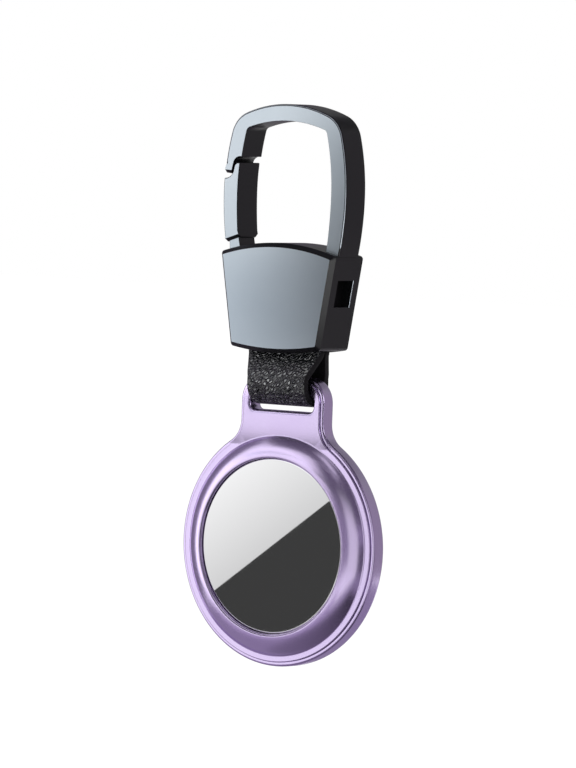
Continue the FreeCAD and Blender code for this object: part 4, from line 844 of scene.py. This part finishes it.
# Foam pad: a disc die cut from charcoal polyurethane foam and stuck into the cap. It is squeezed between the
# cap and the tag's dome, so it takes the curve of both and its edge bulges.
PAD_FRONT, PAD_DOME, PAD_HALF, PAD_BULGE = 5.37, 46.54, 5.75, 0.3412
foam = begin("foam_pad")
trace([
    (0, PAD_FRONT, PAD_DOME, -1), (PAD_HALF, PAD_FRONT - fallen(PAD_DOME, PAD_HALF), PAD_BULGE, 1),
    (PAD_HALF, BACK_INNER - fallen(BACK_DOME, PAD_HALF), BACK_DOME, 1), (0, BACK_INNER),
], **TURNED)
turn_round()
smooth(foam, 60)

# Cut open, the foam's cells give pores in a dull grey net. The pores are painted darker, as the shade inside
# them.
foam_finish, tree, place = new_finish("open_cell_polyurethane_foam")
cell = add_node(tree, "TexVoronoi", {"Vector": place, "Scale": 1 / (0.35 * MM)},
                feature="DISTANCE_TO_EDGE")
net = add_node(tree, "MapRange", {"Value": cell.outputs["Distance"], "From Max": 0.3, "To Min": 1,
               "To Max": 0}, interpolation_type="SMOOTHSTEP").outputs["Result"]
bump = add_node(tree, "Bump", {"Height": net, "Strength": 0.6, "Distance": 0.1 * MM})
# Painted shade: the pores are darker than the net.
tone = add_node(tree, "Mix", {"Factor": net, "A": linear("#161617"), "B": linear("#434347")},
                data_type="RGBA")
shader = add_node(tree, "BsdfPrincipled", {"Base Color": tone.outputs["Result"], "Roughness": 0.9,
                  "Specular IOR Level": 0.2, "Normal": bump.outputs["Normal"]})
add_node(tree, "OutputMaterial", {"Surface": shader.outputs["BSDF"]})
foam.data.materials.append(foam_finish)
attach(foam, "case_back")
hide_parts("tag_pad")

# Battery cover: a pressed disc of stainless steel, polished to a mirror. Its skirt's three lugs lock into
# the tag with a short turn.
LID_FRONT, LID_BACK, LID_RADIUS, LID_EDGE = -2.65, -2.05, 13.4, 0.2
SKIRT_OUTER, SKIRT_INNER, SKIRT_END = 11.8, 11.2, -0.65
LUG_FRONT, LUG_RADIUS, LUG_PITCH, LUG_HALF_ANGLE = -1.15, 12.5, 120, 12
lid = begin("steel_battery_cover")
trace([
    (0, LID_FRONT), (LID_RADIUS - LID_EDGE, LID_FRONT, LID_EDGE, 1), (LID_RADIUS, LID_FRONT + LID_EDGE),
    (LID_RADIUS, LID_BACK), (SKIRT_OUTER, LID_BACK), (SKIRT_OUTER, LUG_FRONT), (SKIRT_OUTER, SKIRT_END),
    (SKIRT_INNER, SKIRT_END), (SKIRT_INNER, LID_BACK), (0, LID_BACK),
], **TURNED)
turn_round()


def on_lug(face):
    """Whether a face lies where a lug stands out from the skirt."""
    middle = face.calc_center_median()
    angle = math.degrees(math.atan2(middle.z - AXIS.z, middle.x)) % LUG_PITCH
    low = all(LUG_FRONT - TOLERANCE < vertex.co.y / MM < SKIRT_END + TOLERANCE for vertex in face.verts)
    return low and min(angle, LUG_PITCH - angle) < LUG_HALF_ANGLE and on_round(face, SKIRT_OUTER)


choose("FACE", on_lug)
extrude((0, 0, 0))
bpy.ops.transform.resize(value=(LUG_RADIUS / SKIRT_OUTER, 1, LUG_RADIUS / SKIRT_OUTER), center_override=AXIS)
smooth(lid, CASE_SHARP)

# Buffing gives a clear mirror with a trace of haze, so the disc shows its surroundings more than itself.
mirror_steel = speckled("mirror_polished_stainless_steel", ("#f4f4f5",), metal=1, rough=(0.02, 0.05),
                        grain=3, detail=4)
lid.data.materials.append(mirror_steel)
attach(lid, "battery_cover")
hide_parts("battery_cover")

# Inside the case: the tag's white moulded shell, its gasket, coin cell, board, contacts and speaker, and the
# back's seal. Their solids already have their shapes, so they only get their finishes.
INNER_FINISHES = (
    # Moulding against a polished die gives a clean white with clear highlights.
    ("gloss_moulded_white_plastic", "#f1f1ef", "#e9e9e6", 0, 0.12, 0.2, 2.0, ("tag_shell",)),
    # Silicone gives a dull black with a faint bloom.
    ("moulded_black_silicone_rubber", "#1b1b1c", "#232324", 0, 0.55, 0.7, 0.3,
     ("back_seal", "cover_gasket")),
    # Nickel plate gives a neutral grey gloss, a little clouded.
    ("nickel_plated_cell_can", "#b4b5b6", "#c0c1c2", 1, 0.24, 0.34, 0.4, ("coin_cell", "speaker_magnet")),
    # Solder mask gives a deep green with a satin shine.
    ("green_solder_mask_laminate", "#12301f", "#184028", 0, 0.35, 0.5, 0.5, ("circuit_board",)),
    # Thin plating over bronze gives a warm golden gloss.
    ("plated_contact_bronze", "#c9a867", "#d6b778", 1, 0.22, 0.32, 0.3,
     ("positive_contact", "negative_contact")),
    # Enamel over fine copper wires gives a red-brown metallic shimmer.
    ("enamelled_copper_winding", "#b4683a", "#8f4c28", 1, 0.3, 0.45, 0.12, ("speaker_coil",)),
)
for name, light, dark, metal, low, high, size, members in INNER_FINISHES:
    finish = speckled(name, (light, dark), metal, (low, high), size, detail=3, relief=(0.05, 0.02))
    for member in members:
        nodes[member].data.materials.clear()
        nodes[member].data.materials.append(finish)

# Stage: a white floor below the hanging holder, white all round to the camera and in reflections, with soft
# lamps, and cards that only reflections see.
FLOOR_LEVEL, FLOOR_SIZE = -140, 6


def seen(tree):
    """1 for camera rays, reflections and clear pieces, and 0 for the light that falls on things."""
    path = add_node(tree, "LightPath", {})
    straight = add_node(tree, "Math", {0: path.outputs["Is Camera Ray"],
                        1: path.outputs["Is Glossy Ray"]}, operation="MAXIMUM")
    return add_node(tree, "Math", {0: straight.outputs[0], 1: path.outputs["Is Transmission Ray"]},
                    operation="MAXIMUM").outputs[0]


WHITE = (1, 1, 1, 1)
studio = bpy.data.worlds.new("studio")
studio.use_nodes = True
tree = studio.node_tree
tree.nodes.clear()
strength = add_node(tree, "MapRange", {"Value": seen(tree), "To Min": 0.45, "To Max": 1.0})
sky = add_node(tree, "Background", {"Color": WHITE, "Strength": strength.outputs["Result"]})
add_node(tree, "OutputWorld", {"Surface": sky.outputs[0]})
bpy.context.scene.world = studio

let_go()
bpy.ops.mesh.primitive_plane_add(size=FLOOR_SIZE, location=(0, 0, FLOOR_LEVEL * MM))
floor = bpy.context.object
floor.name = "floor"

# Uncoated paper gives an even white that carries a soft shadow and no shine.
paper, tree, place = new_finish("white_paper")
away = add_node(tree, "VectorMath", {0: place}, operation="LENGTH").outputs["Value"]
lit = add_node(tree, "MapRange", {"Value": away, "From Min": 0.1, "From Max": 0.34, "To Min": 0.34,
               "To Max": 1}, interpolation_type="SMOOTHSTEP")
shade = add_node(tree, "MapRange", {"Value": away, "From Min": 0.1, "From Max": 0.34, "To Min": 0.5,
                 "To Max": 0.1}, interpolation_type="SMOOTHSTEP")
plain = add_node(tree, "BsdfDiffuse", {"Color": shade.outputs["Result"]})
shown = add_node(tree, "Math", {0: seen(tree), 1: lit.outputs["Result"]}, operation="MULTIPLY")
glow = add_node(tree, "Emission", {"Color": WHITE, "Strength": shown.outputs[0]})
both = add_node(tree, "AddShader", {0: plain.outputs[0], 1: glow.outputs[0]})
add_node(tree, "OutputMaterial", {"Surface": both.outputs[0]})
floor.data.materials.append(paper)


def lamp(name, place, aim, size, power):
    """A square soft lamp at a place in millimetres, turned to an aim."""
    light = bpy.data.lights.new(name, "AREA")
    light.size = size * MM
    light.energy = power
    item = bpy.data.objects.new(name, light)
    item.location = Vector(place) * MM
    item.rotation_euler = (Vector(aim) - Vector(place)).to_track_quat("-Z", "Y").to_euler()
    item.visible_glossy = False
    bpy.context.scene.collection.objects.link(item)


MIDDLE = (0, 0, -45)
lamp("key", (-160, -220, 300), MIDDLE, 240, 1.6)
lamp("fill", (330, -200, 60), MIDDLE, 220, 0.5)
lamp("rear", (60, 320, 200), MIDDLE, 240, 1.0)
UPRIGHT = (0, 0, 1)


def card(name, middle, across, up, corners, low, high, tint, louvre=(-1, 1)):
    """A flat card for reflections only, of an outline in millimetres and a tone from low to high.

    It is seen from its front, and a louvre shows it only to rays whose rise is between two values.
    """
    across, up, middle = Vector(across).normalized(), Vector(up).normalized(), Vector(middle) * MM
    item = begin(name)
    trace(corners, across, up, middle)
    bpy.ops.mesh.edge_face_add()
    if choose("FACE", lambda face: face.normal.dot(across.cross(up)) < 0):
        bpy.ops.mesh.flip_normals()
    bpy.ops.object.mode_set(mode="OBJECT")
    item.visible_camera = item.visible_diffuse = item.visible_transmission = item.visible_shadow = False
    finish, tree, place = new_finish(name)
    height = add_node(tree, "VectorMath", {0: place, 1: up}, operation="DOT_PRODUCT").outputs["Value"]
    levels = [middle.dot(up) + corner[1] * MM for corner in corners]
    tone = add_node(tree, "MapRange", {"Value": height, "From Min": min(levels),
                    "From Max": max(levels), "To Min": low, "To Max": high})
    glow = add_node(tree, "Emission", {"Color": tint, "Strength": tone.outputs["Result"]})
    met = add_node(tree, "NewGeometry", {})
    climb = add_node(tree, "VectorMath", {0: met.outputs["Incoming"], 1: UPRIGHT},
                     operation="DOT_PRODUCT")
    passed = add_node(tree, "Math", {0: climb.outputs["Value"], 1: sum(louvre) / 2,
                      2: (louvre[1] - louvre[0]) / 2}, operation="COMPARE")
    shown = add_node(tree, "Math", {0: passed.outputs[0], 1: met.outputs["Backfacing"]},
                     operation="SUBTRACT", use_clamp=True)
    clear = add_node(tree, "BsdfTransparent", {})
    sided = add_node(tree, "MixShader", {0: shown.outputs[0], 1: clear.outputs[0], 2: glow.outputs[0]})
    add_node(tree, "OutputMaterial", {"Surface": sided.outputs[0]})
    item.data.materials.append(finish)


def sheet_of(width, height):
    """Corners of a card about its middle."""
    across, along = width / 2, height / 2
    return [(-across, -along), (across, -along), (across, along), (-across, along)]


VIOLET, MAUVE, STEEL_BLUE = (1, 0.86, 1.16, 1), (1, 0.88, 1.04, 1), (0.94, 1, 1.07, 1)
ABOVE_CASE, ABOVE_STRAP, LEVEL_ONLY = (-0.4, 1), (-0.7, 1), (-0.05, 0.08)
LEFTWARD, RIGHTWARD, REARWARD, FORWARD = (-1, 0, 0), (1, 0, 0), (0, 1, 0), (0, -1, 0)
BAND_TURN, COVE_TURN, STRAP_TURN = (-0.893, -0.45, 0), (-0.5, -0.866, 0), (-0.795, 0.607, 0)

# Cards for the case's bezel, flange and wall
card("front_card", (-17, -250, -62), (-1, 0.07, 0), UPRIGHT, sheet_of(162, 111), 0.25, 0.25, VIOLET)
card("band_card", (110, -218, -95), BAND_TURN, UPRIGHT, sheet_of(130, 190), 0.76, 0.76, WHITE)
card("band_top_card", (110, -218, 52), BAND_TURN, UPRIGHT, sheet_of(130, 104), 0.76, 0.12, WHITE)
card("upper_card", (4, -250, 106), LEFTWARD, UPRIGHT, sheet_of(114, 224), 0.12, 0.12, VIOLET)
card("upper_right_card", (177, -177, 106), (-0.707, -0.707, 0), UPRIGHT, sheet_of(312, 224), 0.12, 0.12,
     VIOLET)
card("soft_top_card", (-139, -155, 48), (-0.743, 0.669, 0), UPRIGHT, sheet_of(152, 95), 1.3, 1.3, WHITE)
card("cove_card", (182, -105, -104), COVE_TURN, UPRIGHT, sheet_of(116, 92), 0.1, 0.1, VIOLET)
card("cove_top_card", (182, -105, -29), COVE_TURN, UPRIGHT, sheet_of(116, 58), 0.3, 0.3, VIOLET)
card("ceiling_card", (0, 50, 160), LEFTWARD, REARWARD, sheet_of(420, 480), 0.13, 0.04, VIOLET)
card("streak_card", (36, -116, 158), (0.667, 0.746, 0), (0.746, -0.667, 0), sheet_of(36, 108), 1, 1, WHITE)
card("low_card", (0, 10, -138), RIGHTWARD, REARWARD, sheet_of(380, 300), 0.3, 0.3, VIOLET)
card("low_front_card", (22, -45, -136), FORWARD, RIGHTWARD, sheet_of(90, 130), 0.22, 0, VIOLET)
card("low_left_card", (-60, -94, -127), (-0.84, 0.54, 0), UPRIGHT, sheet_of(150, 28), 0.42, 0.42, VIOLET)
card("right_card", (185, 75, -45), (0.375, -0.927, 0), UPRIGHT, sheet_of(307, 400), 0.33, 0.33, MAUVE)
card("left_card", (-190, 62, -45), (0.31, 0.95, 0), UPRIGHT, sheet_of(300, 400), 0.2, 0.2, VIOLET)
card("rear_card", (0, 260, -45), RIGHTWARD, UPRIGHT, sheet_of(500, 420), 0.32, 0.32, WHITE)
card("soft_box", (-198, -105, -45), (-0.47, 0.88, 0), UPRIGHT, sheet_of(84, 150), 1.6, 1.6, WHITE)

# Cards for the hook's faces and chamfer, and for the strap's grain
card("housing_card", (-17.5, -24, -30.7), UPRIGHT, RIGHTWARD, sheet_of(21.4, 36), 1, 0, STEEL_BLUE,
     ABOVE_CASE)
card("housing_side_card", (12.25, -24, -33.5), UPRIGHT, RIGHTWARD, sheet_of(27, 23.5), 0, 0, STEEL_BLUE,
     ABOVE_CASE)
card("leg_card", (2.5, -24, -9), LEFTWARD, UPRIGHT, sheet_of(27, 22), 0, 0.3, STEEL_BLUE, ABOVE_STRAP)
card("chamfer_card", (30, -20, -27), (-0.59, -0.78, 0), UPRIGHT, sheet_of(16, 24), 2.3, 2.3, WHITE,
     ABOVE_CASE)
card("grain_card", (-14.6, -22.1, -40), STRAP_TURN, UPRIGHT, sheet_of(24, 4.4), 2.5, 2.5, WHITE, LEVEL_ONLY)
card("face_card", (-150, -196, -70), STRAP_TURN, UPRIGHT, sheet_of(60, 130), 1.1, 1.1, WHITE)
card("strap_card", (-14, -10, -50), RIGHTWARD, REARWARD, sheet_of(52, 14), 0.01, 0.01, WHITE)

# Two half-round cards that the steel disc mirrors, a dark one below a light one
TAG_VIEW, TAG_LINE, TAG_ASIDE = (-10.9, -16.9, -66.3), (-0.817, 0, -0.577), (-0.577, 0, 0.817)
card("tag_dark_card", TAG_VIEW, TAG_LINE, TAG_ASIDE,
     [(-14, 0, 14.02, 1), (0, -13.45, 14.02, 1), (14, 0)], 0.048, 0.048, WHITE)
card("tag_light_card", TAG_VIEW, TAG_LINE, TAG_ASIDE,
     [(14.2, 0, 14.2, 1), (0, 14.2, 14.2, 1), (-14.2, 0)], 0.7, 1.0, WHITE)

# Camera at the photograph's viewpoint, a long lens about a metre away
target, distance = Vector((0.0539, 0, -40.2861)) * MM, 1028.44 * MM
azimuth, elevation, roll = math.radians(37.3675), math.radians(2.5153), math.radians(2.0117)
back = Vector((math.sin(azimuth) * math.cos(elevation), -math.cos(azimuth) * math.cos(elevation),
               math.sin(elevation)))
side = Vector((math.cos(azimuth), math.sin(azimuth), 0))
rise = back.cross(side)
right = side * math.cos(roll) + rise * math.sin(roll)
top = rise * math.cos(roll) - side * math.sin(roll)
lens = bpy.data.cameras.new("camera")
lens.lens = 314.5
lens.sensor_width = 36
lens.clip_start = 0.01
camera = bpy.data.objects.new("camera", lens)
camera.matrix_world = (Matrix.Translation(target + back * distance)
                       @ Matrix((right, top, back)).transposed().to_4x4())
bpy.context.scene.collection.objects.link(camera)
bpy.context.scene.camera = camera
bpy.context.scene.view_settings.view_transform = "Standard"
